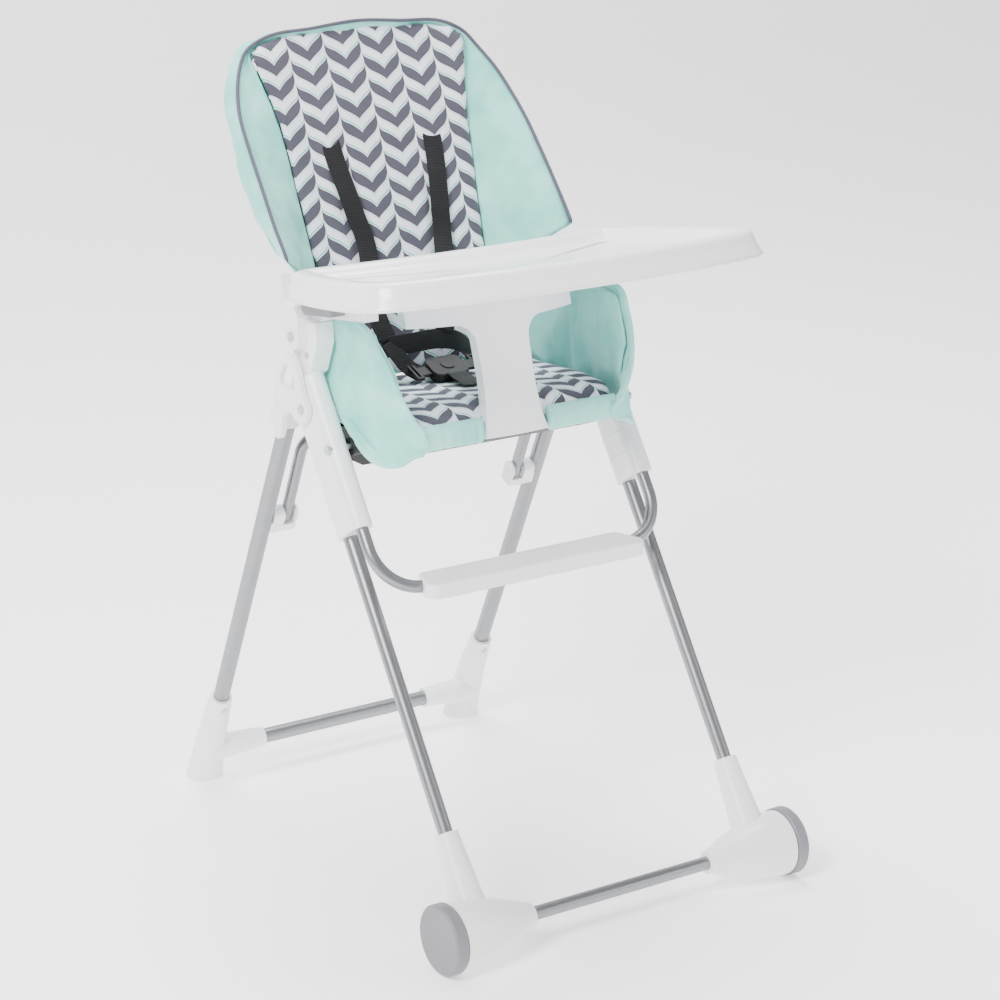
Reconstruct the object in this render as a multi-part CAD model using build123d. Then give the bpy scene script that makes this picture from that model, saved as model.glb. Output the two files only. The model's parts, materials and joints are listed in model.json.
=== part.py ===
"""Folding baby high chair, in millimetres.

+Z is up, the chair faces -Y and X = 0 is its plane of symmetry. The origin is on the floor, under the
middle of the chair's width and depth. "left" is the sitter's left, +X.
"""
from build123d import *
from math import cos, radians, sin
import os

# ---------------------------------------------------------------- driving dimensions
DEPTH = 772.0                 # front of the wheels to the back of the rear feet
TRACK = 427.0                 # middle of the right legs to the middle of the left legs
FRONT_LEAN = 34.2             # front legs lean back from the vertical, degrees
REAR_LEAN = 24.9              # rear legs lean forward from the vertical, degrees
CLEAR = 0.3                   # between surfaces that only come close
FIT = 0.05                    # radial clearance of a running or seated round fit

WHEEL_R = 44.3
WHEEL_THICK = 17.0
WHEEL_FACE_X = 268.5          # outer face of a wheel
WHEEL_GAP = 1.5
AXLE_R = 4.0

FRONT_TUBE_R = 9.5
CROSS_TUBE_R = 8.75
REAR_TUBE_R = 11.0
REAR_CROSS_R = 10.5
FOOTREST_TUBE_R = 8.0
LINK_TUBE_R = 7.75
HOOP_R = 5.0
TUBE_WALL = 1.2

HUB_NOSE_X = 134.5
HUB_NOSE_R = 14.5
HUB_R = 42.0
HUB_NECK_LENGTH = 122.0       # wheel axis to the top of the neck, along the leg
HUB_NECK_TOP_R = 15.5
HUB_NECK_BASE_R = 25.0

SLEEVE_START = 508.0          # wheel axis to the sleeve's lower end, along the leg
SLEEVE_LENGTH = 205.0
SLEEVE_R = 15.0               # round the leg tube, and round the nose
SLEEVE_SPAN = 32.5            # between the middles of those two rounds
SLEEVE_WALL = 2.8
SLEEVE_COLLAR = 45.0          # solid stretch at the lower end
FOOTREST_TUBE_AHEAD = 34.6    # footrest tube's axis in front of the leg's axis
FRONT_TUBE_LENGTH = 690.0

FOLD_PIVOT = (674.4, 22.1)    # rear frame's pivot: along the front leg, ahead of it
SEAT_PIVOT = (612.7, 40.0)    # seat pivot, the same way
BACK_PIVOT = (760.1, 55.3)    # backrest pivot, the same way
BOLT_R = 4.0
BOLT_HEAD_R = 6.0
BOLT_HEAD = 2.4
SCREW_R = 1.8
SCREW_SHANK = 3.0
SCREW_HEAD_R = 4.2
SCREW_HEAD = 1.6

REAR_AXIS_BEHIND = 54.9       # rear leg's axis behind the fold pivot, square to the rear leg
FOOT_R = 26.0
FOOT_HEIGHT = 150.0           # along the rear leg
FOOT_TOP_R = 15.5
FOOT_SOCKET_R = 16.0
FOOT_SOCKET_X = 133.7         # mouth of the socket arm
REAR_CROSS_Z = 47.8
REAR_CROSS_AHEAD = 7.0        # rear cross tube in front of the rear leg's axis

BRACKET_THICK = 7.0
BRACKET_EYE_R = 13.0
BRACKET_SOCKET_R = 14.5
BRACKET_SOCKET_LENGTH = 42.0
BRACKET_SOCKET_TOP = -24.0    # socket's top edge, along the rear leg from the pivot's level

FOOTREST_HALF = 170.0
FOOTREST_REAR_HALF = 150.0    # the board's ends are drawn in to this at its rear edge
FOOTREST_AHEAD = 33.0         # board's front edge in front of its tube's axis
FOOTREST_BEHIND = 22.0
FOOTREST_THICK = 19.0
FOOTREST_ALONG = 421.0        # footrest tube's cross run, along the front leg
FOOTREST_BEND = 60.0

CLIP_ALONG = 225.3            # link clips, below the pivot's level, along the rear leg
CLIP_X = 180.7
LINK_REAR = 143.8             # link's cross run behind the seat pivot
LINK_Z = -25.6                # and above it

SEAT_HALF = 168.0
SEAT_FRONT = -68.0            # seat pan's front edge, from the seat pivot
SEAT_REAR = 128.0             # seat pan's rear edge, from the seat pivot
SEAT_PAN_WALL = 4.0
CUSHION_HALF = 166.0          # half width where the cushion stands above the pan
CUSHION_TOP = 36.0            # cushion's top at its front, above the seat pivot
SEAT_WING_X = 190.0           # outer face of the side wings
SEAT_WING_THICK = 10.0
WING_END_X = 142.0            # the wings curve in to here at their lower front corner

POST_FRONT = -82.0            # the post's front face at its foot, from the seat pivot
POST_FOOT_HALF = 48.0
POST_STEM_HALF = 38.0
POST_BAR_HALF = 124.0
POST_BAR_HEIGHT = 34.0
POST_THICK = 16.0
POST_BOW = 0.0016             # the post's face falls back by this times x squared

BACK_LEAN = 22.5
BACK_ORIGIN = (120.6, 51.0)   # foot of the visible back panel, from the backrest pivot (y, z)
BACK_HALF = 215.0
BACK_HEIGHT = 315.0
BACK_BELOW = 115.0            # back panel continues below its visible foot
BACK_RIM_DEPTH = 80.0         # rim in front of the panel at the panel's foot
BACK_RIM_SLOPE = 0.25         # the rim falls towards the panel by this much per mm of height
PIPING_R = 2.2
BACK_THICK = 18.0             # the cover's rear wall, with its filling
PAD_THICK = 16.0
PAD_PROUD = 4.0               # the pad's face in front of the panel's plane
PAD_HALF_LOW = 130.0
PAD_HALF_HIGH = 160.0
PAD_HEIGHT = 298.0
ARM_THICK = 13.5
ARM_END_R = 16.5

TRAY_TILT = 8.5               # the tray rises towards its front, degrees
TRAY_REAR = (-35.4, 89.0)     # rear middle of the tray's rim, from the backrest pivot (y, z)
TRAY_HALF = 281.0
TRAY_DEPTH = 290.0
TRAY_FASCIA = 33.0
TRAY_FLARE = 15.0
TRAY_RIM = 21.0
TRAY_DISH = 14.0
TRAY_WALL = 3.0
TRAY_TRAVEL = 75.0

ARMREST_X = 206.0             # middle of an armrest rail
ARMREST_HEAD_HALF = 13.0
ARMREST_STEM_HALF = 9.0
ARMREST_HEAD = 8.0
ARMREST_TOP = 22.0            # below the tray's rim plane
ARMREST_HEIGHT = 38.0
ARMREST_LENGTH = 128.0

STRAP_W = 28.0
STRAP_T = 1.6

# ---------------------------------------------------------------- places worked out from them
LEG_X = TRACK / 2
HUB_Y = -DEPTH / 2 + WHEEL_R
HUB_Z = WHEEL_R
FL = radians(FRONT_LEAN)
RL = radians(REAR_LEAN)
FRONT_UP = Vector(0, sin(FL), cos(FL))
FRONT_AHEAD = Vector(0, -cos(FL), sin(FL))
REAR_UP = Vector(0, -sin(RL), cos(RL))
REAR_AHEAD = Vector(0, -cos(RL), -sin(RL))


def front_point(x, along, ahead=0.0):
    """A point given along the front leg from the wheel axis, and ahead of the leg's axis."""
    return Vector(x, HUB_Y, HUB_Z) + FRONT_UP * along + FRONT_AHEAD * ahead


FOLD_AT = front_point(0, *FOLD_PIVOT)
SEAT_AT = front_point(0, *SEAT_PIVOT)
BACK_AT = front_point(0, *BACK_PIVOT)


def rear_point(x, along, ahead=0.0):
    """A point given along the rear leg from the fold pivot's level, and ahead of that leg's axis."""
    return Vector(x, FOLD_AT.Y, FOLD_AT.Z) + REAR_UP * along + REAR_AHEAD * (ahead - REAR_AXIS_BEHIND)


REAR_FLOOR_ALONG = -rear_point(0, 0).Z / REAR_UP.Z      # where the rear leg's axis meets the floor
REAR_CROSS_ALONG = (REAR_CROSS_Z - rear_point(0, 0, REAR_CROSS_AHEAD).Z) / REAR_UP.Z
CLIP_AT = rear_point(CLIP_X, -CLIP_ALONG)

NODES = {}


def node(name, *solids):
    """Keeps the solids as one named sub-part."""
    shapes = [s for shape in solids for s in shape.solids()]
    NODES[name] = shapes[0] if len(shapes) == 1 else Compound(shapes)


def pair(name, *solids):
    """Keeps the +X solids as NAME_left and their mirror image as NAME_right."""
    node(name + "_left", *solids)
    node(name + "_right", *[mirror(s, about=Plane.YZ) for s in solids])


def both(shape):
    """The solid and its mirror image."""
    return [shape, mirror(shape, about=Plane.YZ)]


def rod(start, end, radius):
    """A round bar from one point to another."""
    axis = end - start
    return extrude(Plane(origin=start, z_dir=axis) * Circle(radius), axis.length)


def tube(start, end, radius, wall=TUBE_WALL):
    """A round tube from one point to another."""
    axis = end - start
    return extrude(Plane(origin=start, z_dir=axis) * (Circle(radius) - Circle(radius - wall)), axis.length)


def bent(points, bend, radius, wall=None):
    """A bar, or a tube where a wall is given, along straight runs joined by arcs."""
    path = FilletPolyline(*points, radius=bend)
    section = Circle(radius) if wall is None else Circle(radius) - Circle(radius - wall)
    return sweep(Plane(origin=path @ 0, z_dir=path % 0) * section, path=path)


def side_plate(outline, x, thickness):
    """A plate square to X, from x towards +X, on an outline of (y, z) points."""
    face = Plane(origin=(x, 0, 0), x_dir=(0, 1, 0), z_dir=(1, 0, 0)) * make_face(Polyline(*outline, close=True))
    return extrude(face, thickness)


def ribbon(points, width=STRAP_W, thickness=STRAP_T):
    """A flat strap through the points, its width along X."""
    sections = []
    for i, point in enumerate(points):
        along = points[min(i + 1, len(points) - 1)] - points[max(i - 1, 0)]
        across = Vector(1, 0, 0) - along * (along.X / along.dot(along))
        sections.append(Plane(origin=point, x_dir=across, z_dir=along) * Rectangle(width, thickness))
    return loft(sections, ruled=True)


def screw(at, out):
    """A pan-head screw: its head stands on the surface at the point, its shank goes in against out."""
    out = out.normalized()
    return rod(at - out * SCREW_SHANK, at, SCREW_R) + rod(at, at + out * SCREW_HEAD, SCREW_HEAD_R)


# ---------------------------------------------------------------- front frame
FRONT_TUBE_START = 18.0
FOOTREST_TUBE_END = 598.0
CAP_X = 197.0                 # inner face of a sleeve cap
ARM_X = 223.8                 # inner face of a backrest arm
CAP_TOP = 22.0                # cap's top edge above the backrest pivot
BAND = (656.0, 694.0)         # solid stretch of the sleeve round the fold pivot
PIN_DEPTH = 190.0             # inner end of the cross tube in a hub


def leg_plane(along):
    """Square to the left front leg: local x points ahead, local y towards +X."""
    return Plane(origin=front_point(LEG_X, along), x_dir=FRONT_AHEAD, z_dir=FRONT_UP)


def sleeve_slot(radius):
    """The sleeve's section round the leg tube and the footrest tube."""
    return Pos(SLEEVE_SPAN / 2, 0) * SlotCenterToCenter(SLEEVE_SPAN, 2 * radius)


def hub():
    """A bell turned about the wheel axis with a neck up the leg, bored for tube, cross tube and axle."""
    end = WHEEL_FACE_X - WHEEL_THICK - WHEEL_GAP
    axis_plane = Plane(origin=(0, HUB_Y, HUB_Z), x_dir=(1, 0, 0), z_dir=(0, -1, 0))
    third = (end - HUB_NOSE_X) / 3
    curve = Spline(
        (HUB_NOSE_X, HUB_NOSE_R),
        (HUB_NOSE_X + third, HUB_NOSE_R + (HUB_R - HUB_NOSE_R) * 0.52),
        (HUB_NOSE_X + 2 * third, HUB_NOSE_R + (HUB_R - HUB_NOSE_R) * 0.9),
        (end, HUB_R),
    )
    rest = Polyline((end, HUB_R), (end, 0), (HUB_NOSE_X, 0), (HUB_NOSE_X, HUB_NOSE_R))
    bell = revolve(axis_plane * make_face([curve, rest]), Axis((0, HUB_Y, HUB_Z), (1, 0, 0)))
    base = leg_plane(0) * Circle(HUB_NECK_BASE_R)
    middle = leg_plane(HUB_NECK_LENGTH * 0.45) * Circle((HUB_NECK_BASE_R + HUB_NECK_TOP_R) / 2)
    top = leg_plane(HUB_NECK_LENGTH) * Circle(HUB_NECK_TOP_R)
    body = bell + loft([base, middle, top], ruled=False)
    body -= rod(front_point(LEG_X, FRONT_TUBE_START), front_point(LEG_X, HUB_NECK_LENGTH + 20), FRONT_TUBE_R)
    body -= rod(Vector(HUB_NOSE_X - 5, HUB_Y, HUB_Z), Vector(PIN_DEPTH, HUB_Y, HUB_Z), CROSS_TUBE_R)
    pocket_start = Vector(LEG_X + FRONT_TUBE_R + 4, HUB_Y, HUB_Z)
    pocket_end = Vector(end, HUB_Y, HUB_Z)
    body -= rod(pocket_start, pocket_end, HUB_R - 6) - rod(pocket_start, pocket_end, AXLE_R + 5)
    return body - rod(Vector(PIN_DEPTH + 34, HUB_Y, HUB_Z), pocket_end, AXLE_R) - screw(*hub_screw())


def sleeve():
    """A housing round both tubes: solid at its lower end and round the fold pivot, hollow between."""
    body = extrude(leg_plane(SLEEVE_START) * sleeve_slot(SLEEVE_R), SLEEVE_LENGTH)
    inner = sleeve_slot(SLEEVE_R - SLEEVE_WALL)
    hollow_from = SLEEVE_START + SLEEVE_COLLAR
    top = SLEEVE_START + SLEEVE_LENGTH
    lower = extrude(leg_plane(hollow_from) * inner, BAND[0] - hollow_from)
    boss = rod(Vector(0, SEAT_AT.Y, SEAT_AT.Z), Vector(WHEEL_FACE_X, SEAT_AT.Y, SEAT_AT.Z), BOLT_R + 3)
    body -= lower - boss
    body -= extrude(leg_plane(BAND[1]) * inner, top - BAND[1])
    half = sleeve_slot(SLEEVE_R + 1.2) & (Pos(0, -SLEEVE_R) * Rectangle(2 * SLEEVE_SPAN, 2 * SLEEVE_R))
    for along in (SLEEVE_START + 30, SLEEVE_START + 60):
        body += extrude(leg_plane(along) * (half - sleeve_slot(SLEEVE_R - 1)), 2.6)
    body -= rod(front_point(LEG_X, SLEEVE_START - 5), front_point(LEG_X, top + 5), FRONT_TUBE_R)
    ahead = FOOTREST_TUBE_AHEAD
    body -= rod(
        front_point(LEG_X, SLEEVE_START - 5, ahead), front_point(LEG_X, FOOTREST_TUBE_END, ahead), FOOTREST_TUBE_R
    )
    for at in (FOLD_AT, SEAT_AT):
        body -= rod(Vector(0, at.Y, at.Z), Vector(WHEEL_FACE_X, at.Y, at.Z), BOLT_R)
    return body


def tray_plane():
    """On the tray's rim at its rear middle: local y runs to the rear, local z squarely up from the tray."""
    tilt = radians(TRAY_TILT)
    origin = BACK_AT + Vector(0, *TRAY_REAR)
    return Plane(origin=origin, x_dir=(1, 0, 0), z_dir=(0, sin(tilt), cos(tilt)))


def tray_block(x, y, z):
    """A block between pairs of limits in the tray's own directions."""
    middle = Pos((x[0] + x[1]) / 2, (y[0] + y[1]) / 2, (z[0] + z[1]) / 2)
    return tray_plane() * (middle * Box(x[1] - x[0], y[1] - y[0], z[1] - z[0]))


def cap_screw():
    """Place and direction of the screw in a cap's cheek, below the backrest pivot."""
    return Vector(ARM_X - CLEAR, BACK_AT.Y - 14.4, BACK_AT.Z - 22.2), Vector(1, 0, 0)


def cap():
    """A moulding on the sleeve: a plug down into it, a cheek up to the backrest pivot and the armrest."""
    top_along = SLEEVE_START + SLEEVE_LENGTH
    low_rear = front_point(0, top_along, -SLEEVE_R + 1)
    low_front = front_point(0, top_along, SLEEVE_SPAN + SLEEVE_R - 1)
    y = BACK_AT.Y
    z = BACK_AT.Z
    outline = [
        (low_rear.Y, low_rear.Z),
        (y + 24, z - 34),
        (y + 17, z - 8),
        (y + 17, z + 8),
        (y + 9, z + CAP_TOP),
        (y - 34, z + CAP_TOP),
        (y - 36, z - 4),
        (low_front.Y, low_front.Z),
    ]
    cheek = side_plate(outline, CAP_X, ARM_X - CLEAR - CAP_X)
    cheek = fillet(cheek.edges().filter_by(GeomType.LINE).group_by(Axis.X)[-1], 3.0)
    plug_from = FRONT_TUBE_START + FRONT_TUBE_LENGTH
    plug = extrude(leg_plane(plug_from) * sleeve_slot(SLEEVE_R - SLEEVE_WALL), top_along - plug_from)
    body = cheek + plug - screw(*cap_screw())
    return body - rod(Vector(0, y, z), Vector(WHEEL_FACE_X, y, z), BOLT_R)


def armrest():
    """A T-section rail along the tray's direction with a foot down to the sleeve cap."""
    top = -ARMREST_TOP
    rear = 28.0
    length = (rear - ARMREST_LENGTH, rear)
    head = tray_block(
        (ARMREST_X - ARMREST_HEAD_HALF, ARMREST_X + ARMREST_HEAD_HALF), length, (top - ARMREST_HEAD, top)
    )
    stem = tray_block(
        (ARMREST_X - ARMREST_STEM_HALF, ARMREST_X + ARMREST_STEM_HALF), length, (top - ARMREST_HEIGHT, top)
    )
    rail = head + stem
    low = tray_plane().from_local_coords(Vector(0, rear, top - ARMREST_HEIGHT))
    y = BACK_AT.Y
    foot = [
        (y - 32, BACK_AT.Z + CAP_TOP),
        (y + 6, BACK_AT.Z + CAP_TOP),
        (low.Y, low.Z + 12),
        (low.Y - 46, low.Z + 18),
    ]
    return rail + side_plate(foot, ARMREST_X - ARMREST_STEM_HALF, 2 * ARMREST_STEM_HALF)


def footrest_line():
    """Corners of the footrest tube's axis."""
    ahead = FOOTREST_TUBE_AHEAD
    return [
        front_point(-LEG_X, FOOTREST_TUBE_END, ahead),
        front_point(-LEG_X, FOOTREST_ALONG, ahead),
        front_point(LEG_X, FOOTREST_ALONG, ahead),
        front_point(LEG_X, FOOTREST_TUBE_END, ahead),
    ]


def footrest_tube():
    """One bent tube: down from each sleeve, in along X and across under the footrest board."""
    return bent(footrest_line(), FOOTREST_BEND, FOOTREST_TUBE_R, TUBE_WALL)


def footrest():
    """A board with rounded front corners, its ends drawn in to the rear, bored for the footrest tube."""
    at = front_point(0, FOOTREST_ALONG, FOOTREST_TUBE_AHEAD)
    front = at.Y - FOOTREST_AHEAD
    rear = at.Y + FOOTREST_BEHIND
    outline = Polyline((-FOOTREST_HALF, front), (FOOTREST_HALF, front), (FOOTREST_REAR_HALF, rear),
                       (-FOOTREST_REAR_HALF, rear), close=True)
    low = at.Z + 1.0 - FOOTREST_THICK / 2
    body = extrude(Plane(origin=(0, 0, low)) * make_face(outline), FOOTREST_THICK)
    body = fillet(body.edges().filter_by(Axis.Z).group_by(Axis.Y)[0], 14.0)
    body = fillet(body.edges().filter_by(Axis.Z).group_by(Axis.Y)[-1], 6.0)
    body = fillet(body.edges().group_by(Axis.Z)[-1], 3.0)
    return body - bent(footrest_line(), FOOTREST_BEND, FOOTREST_TUBE_R)


def hub_screw():
    """Place and direction of the screw in a hub's neck, from behind."""
    along = HUB_NECK_LENGTH - 16
    at = front_point(LEG_X, along, -HUB_NECK_TOP_R - 1.0)
    return at, -FRONT_AHEAD


def pivot_bolt(at, start, face, clearance=0.0):
    """A bolt along X from start to the outer face, with a domed head standing on it."""
    base = Vector(face + clearance, at.Y, at.Z)
    shank = rod(Vector(start, at.Y, at.Z), base, BOLT_R)
    return shank + rod(base, base + Vector(BOLT_HEAD, 0, 0), BOLT_HEAD_R)


def front_frame():
    """Everything that stands still."""
    pair("front_leg", tube(front_point(LEG_X, FRONT_TUBE_START),
                           front_point(LEG_X, FRONT_TUBE_START + FRONT_TUBE_LENGTH), FRONT_TUBE_R))
    node("front_cross_tube", tube(Vector(-PIN_DEPTH, HUB_Y, HUB_Z), Vector(PIN_DEPTH, HUB_Y, HUB_Z), CROSS_TUBE_R))
    pair("front_hub", hub())
    pair("sleeve", sleeve())
    pair("sleeve_cap", cap())
    pair("armrest", armrest())
    node("footrest_tube", footrest_tube())
    node("footrest", footrest())
    node("wheel_axles", *both(rod(Vector(PIN_DEPTH + 34, HUB_Y, HUB_Z),
                                  Vector(WHEEL_FACE_X - 5, HUB_Y, HUB_Z), AXLE_R)))
    pair("wheel", wheel())
    bracket_face = bracket_x() + BRACKET_THICK
    node("fold_pivot_bolts", *both(pivot_bolt(FOLD_AT, LEG_X - SLEEVE_R, bracket_face, CLEAR)))
    node("seat_pivot_bolts", *both(pivot_bolt(SEAT_AT, SEAT_HALF + 4, LEG_X + SLEEVE_R)))
    node("back_pivot_bolts", *both(pivot_bolt(BACK_AT, CAP_X + 2, ARM_X + ARM_THICK, CLEAR)))
    node("frame_screws", *both(screw(*cap_screw())), *both(screw(*hub_screw())))


def bracket_x():
    """Inner face of a leg bracket's cheek, just clear of the sleeve."""
    return LEG_X + SLEEVE_R + 1.2


def wheel():
    """A disc with bevelled rims, turning on its axle."""
    inner = Vector(WHEEL_FACE_X - WHEEL_THICK, HUB_Y, HUB_Z)
    disc = rod(inner, inner + Vector(WHEEL_THICK, 0, 0), WHEEL_R)
    disc = chamfer(disc.edges().group_by(Axis.X)[-1], 2.5)
    disc = chamfer(disc.edges().group_by(Axis.X)[0], 2.0)
    return disc - rod(inner - Vector(1, 0, 0), Vector(WHEEL_FACE_X - 5 + CLEAR, HUB_Y, HUB_Z), AXLE_R + FIT)


# ---------------------------------------------------------------- rear frame and link
REAR_TOP_ALONG = BRACKET_SOCKET_TOP - 3.0      # upper end of a rear leg tube
FOOT_INSERT = 20.0                             # rear leg tube's lower end above the floor, along it
CLIP_R = 12.0
CLIP_WALL = 3.0
LINK_PIN_R = 3.0
LINK_MOUTH = 9.0                               # room round the link tube in the pan's saddles


def rear_plane(along):
    """Square to the left rear leg: local x points ahead, local y towards +X."""
    return Plane(origin=rear_point(LEG_X, along), x_dir=REAR_AHEAD, z_dir=REAR_UP)


def foot_screw():
    """Place and direction of the screw in the top of a rear foot, on its front."""
    return rear_point(LEG_X, REAR_FLOOR_ALONG + FOOT_HEIGHT - 14, FOOT_TOP_R + 0.6), REAR_AHEAD


def socket_screw():
    """Place and direction of the screw in a leg bracket's socket, from behind."""
    return rear_point(LEG_X, BRACKET_SOCKET_TOP - 24, -BRACKET_SOCKET_R), -REAR_AHEAD


def rear_foot():
    """A boot: a flat round sole, a slanting ankle bored for the leg and an arm towards the cross tube."""
    cross = rear_point(0, REAR_CROSS_ALONG, REAR_CROSS_AHEAD)
    sole = Plane(origin=(LEG_X, DEPTH / 2 - FOOT_R, 0)) * Circle(FOOT_R)
    ankle_at = REAR_FLOOR_ALONG + FOOT_HEIGHT * 0.42
    ankle = rear_plane(ankle_at) * Circle((FOOT_R + FOOT_TOP_R) / 2 + 0.5)
    top = rear_plane(REAR_FLOOR_ALONG + FOOT_HEIGHT) * Circle(FOOT_TOP_R)
    body = loft([sole, ankle, top])
    arm = Plane(origin=(FOOT_SOCKET_X, cross.Y, cross.Z), z_dir=(1, 0, 0)) * Circle(FOOT_SOCKET_R - 2)
    root = Plane(origin=(LEG_X, cross.Y, cross.Z), z_dir=(1, 0, 0)) * Circle(FOOT_SOCKET_R + 3)
    body += loft([arm, root])
    leg_from = rear_point(LEG_X, REAR_FLOOR_ALONG + FOOT_INSERT)
    body -= rod(leg_from, rear_point(LEG_X, REAR_FLOOR_ALONG + FOOT_HEIGHT + 20), REAR_TUBE_R)
    socket_end = LEG_X - REAR_TUBE_R - 4
    body -= rod(Vector(FOOT_SOCKET_X - 5, cross.Y, cross.Z), Vector(socket_end, cross.Y, cross.Z), REAR_CROSS_R)
    return body - screw(*foot_screw())


def bracket():
    """The cheek with its pivot eye and arch, and the socket that holds the rear leg's upper end."""
    x = bracket_x()
    a = FOLD_AT
    outer = [
        (a.Y - 11, a.Z + 9), (a.Y + 2, a.Z + 30), (a.Y + 12, a.Z + 52), (a.Y + 22, a.Z + 63),
        (a.Y + 36, a.Z + 64), (a.Y + 52, a.Z + 52), (a.Y + 64, a.Z + 30), (a.Y + 71, a.Z + 4),
        (a.Y + 73, a.Z - 24), (a.Y + 70, a.Z - 46), (a.Y + 64, a.Z - 52), (a.Y + 57, a.Z - 49),
        (a.Y + 50, a.Z - 26), (a.Y + 36, a.Z - 10), (a.Y + 24, a.Z - 12), (a.Y + 10, a.Z - 20),
        (a.Y - 6, a.Z - 15),
    ]
    window = [
        (a.Y + 16, a.Z + 24), (a.Y + 22, a.Z + 42), (a.Y + 31, a.Z + 51), (a.Y + 40, a.Z + 50),
        (a.Y + 50, a.Z + 38), (a.Y + 55, a.Z + 26), (a.Y + 38, a.Z + 22),
    ]
    face = Plane(origin=(x, 0, 0), x_dir=(0, 1, 0), z_dir=(1, 0, 0))
    rim = make_face(Spline(*outer, periodic=True))
    cheek = extrude(face * rim, BRACKET_THICK) - extrude(face * make_face(Spline(*window, periodic=True)), 99)
    cheek += rod(Vector(x, a.Y, a.Z), Vector(x + BRACKET_THICK, a.Y, a.Z), BRACKET_EYE_R)
    low = BRACKET_SOCKET_TOP - BRACKET_SOCKET_LENGTH
    socket = extrude(rear_plane(low) * Circle(BRACKET_SOCKET_R), BRACKET_SOCKET_LENGTH)
    web = extrude(rear_plane(low) * (Pos(0, BRACKET_SOCKET_R / 2 + 1) * Rectangle(
        2 * BRACKET_SOCKET_R - 2, BRACKET_SOCKET_R + 8)), BRACKET_SOCKET_LENGTH)
    keep = side_plate([(a.Y - 99, a.Z - 199), (a.Y + 199, a.Z - 199), (a.Y + 199, a.Z + 199), (a.Y - 99, a.Z + 199)],
                      LEG_X - TRACK, x + BRACKET_THICK - 1.5 - LEG_X + TRACK)
    body = cheek + socket + (web & keep)
    body -= rod(rear_point(LEG_X, low - 20), rear_point(LEG_X, REAR_TOP_ALONG), REAR_TUBE_R)
    return body - rod(Vector(0, a.Y, a.Z), Vector(TRACK, a.Y, a.Z), BOLT_R + FIT) - screw(*socket_screw())


def link_clip():
    """A cup on the inner side of a rear leg with two cheeks round the link's lower end."""
    p = CLIP_AT
    half = LINK_TUBE_R + CLEAR + 0.2
    inner = CLIP_X - half - CLIP_WALL
    eye = rod(Vector(inner, p.Y, p.Z), Vector(LEG_X - REAR_TUBE_R + 2, p.Y, p.Z), CLIP_R)
    low = rear_plane(-CLIP_ALONG - 22) * Pos(0, -(LEG_X - inner + 6) / 2)
    base = extrude(low * Rectangle(2 * CLIP_R - 3, LEG_X - inner - 6), 16)
    gap = extrude(rear_plane(-CLIP_ALONG - 12) * Pos(0, CLIP_X - LEG_X) * Rectangle(90, 2 * half), 60)
    body = eye + base - gap
    body -= rod(rear_point(LEG_X, -CLIP_ALONG - 60), rear_point(LEG_X, -CLIP_ALONG + 60), REAR_TUBE_R)
    return body - rod(Vector(inner - 1, p.Y, p.Z), Vector(CLIP_X + half + 2, p.Y, p.Z), LINK_PIN_R)


def link_tube():
    """A U of tube: up beside each rear leg, bending in under the seat pan."""
    cross_y = SEAT_AT.Y + LINK_REAR
    cross_z = SEAT_AT.Z + LINK_Z
    points = [
        CLIP_AT - REAR_UP * 8.0,
        Vector(CLIP_X, cross_y, cross_z),
        Vector(-CLIP_X, cross_y, cross_z),
        Vector(-CLIP_X, CLIP_AT.Y, CLIP_AT.Z) - REAR_UP * 8.0,
    ]
    body = bent(points, 24.0, LINK_TUBE_R, TUBE_WALL)
    for x in (CLIP_X, -CLIP_X):
        body -= rod(Vector(x - 20, CLIP_AT.Y, CLIP_AT.Z), Vector(x + 20, CLIP_AT.Y, CLIP_AT.Z), LINK_PIN_R + FIT)
    return body


def rear_frame():
    """Everything that swings about the fold pivots."""
    cross = rear_point(0, REAR_CROSS_ALONG, REAR_CROSS_AHEAD)
    inner = LEG_X - REAR_TUBE_R - 4
    pair("rear_leg", tube(rear_point(LEG_X, REAR_FLOOR_ALONG + FOOT_INSERT), rear_point(LEG_X, REAR_TOP_ALONG),
                          REAR_TUBE_R))
    node("rear_cross_tube", tube(Vector(-inner, cross.Y, cross.Z), Vector(inner, cross.Y, cross.Z), REAR_CROSS_R))
    pair("rear_foot", rear_foot())
    pair("leg_bracket", bracket())
    pair("link_clip", link_clip())
    half = LINK_TUBE_R + CLEAR + 0.2 + CLIP_WALL
    node("link_pins", *both(rod(Vector(CLIP_X - half, CLIP_AT.Y, CLIP_AT.Z),
                                Vector(CLIP_X + half - 1, CLIP_AT.Y, CLIP_AT.Z), LINK_PIN_R)))
    node("seat_link", link_tube())
    node("rear_screws", *both(screw(*foot_screw())), *both(screw(*socket_screw())))


# ---------------------------------------------------------------- seat
def seat_at(dy, dz):
    """A point given from the seat pivot, to the rear and up."""
    return (SEAT_AT.Y + dy, SEAT_AT.Z + dz)


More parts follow.
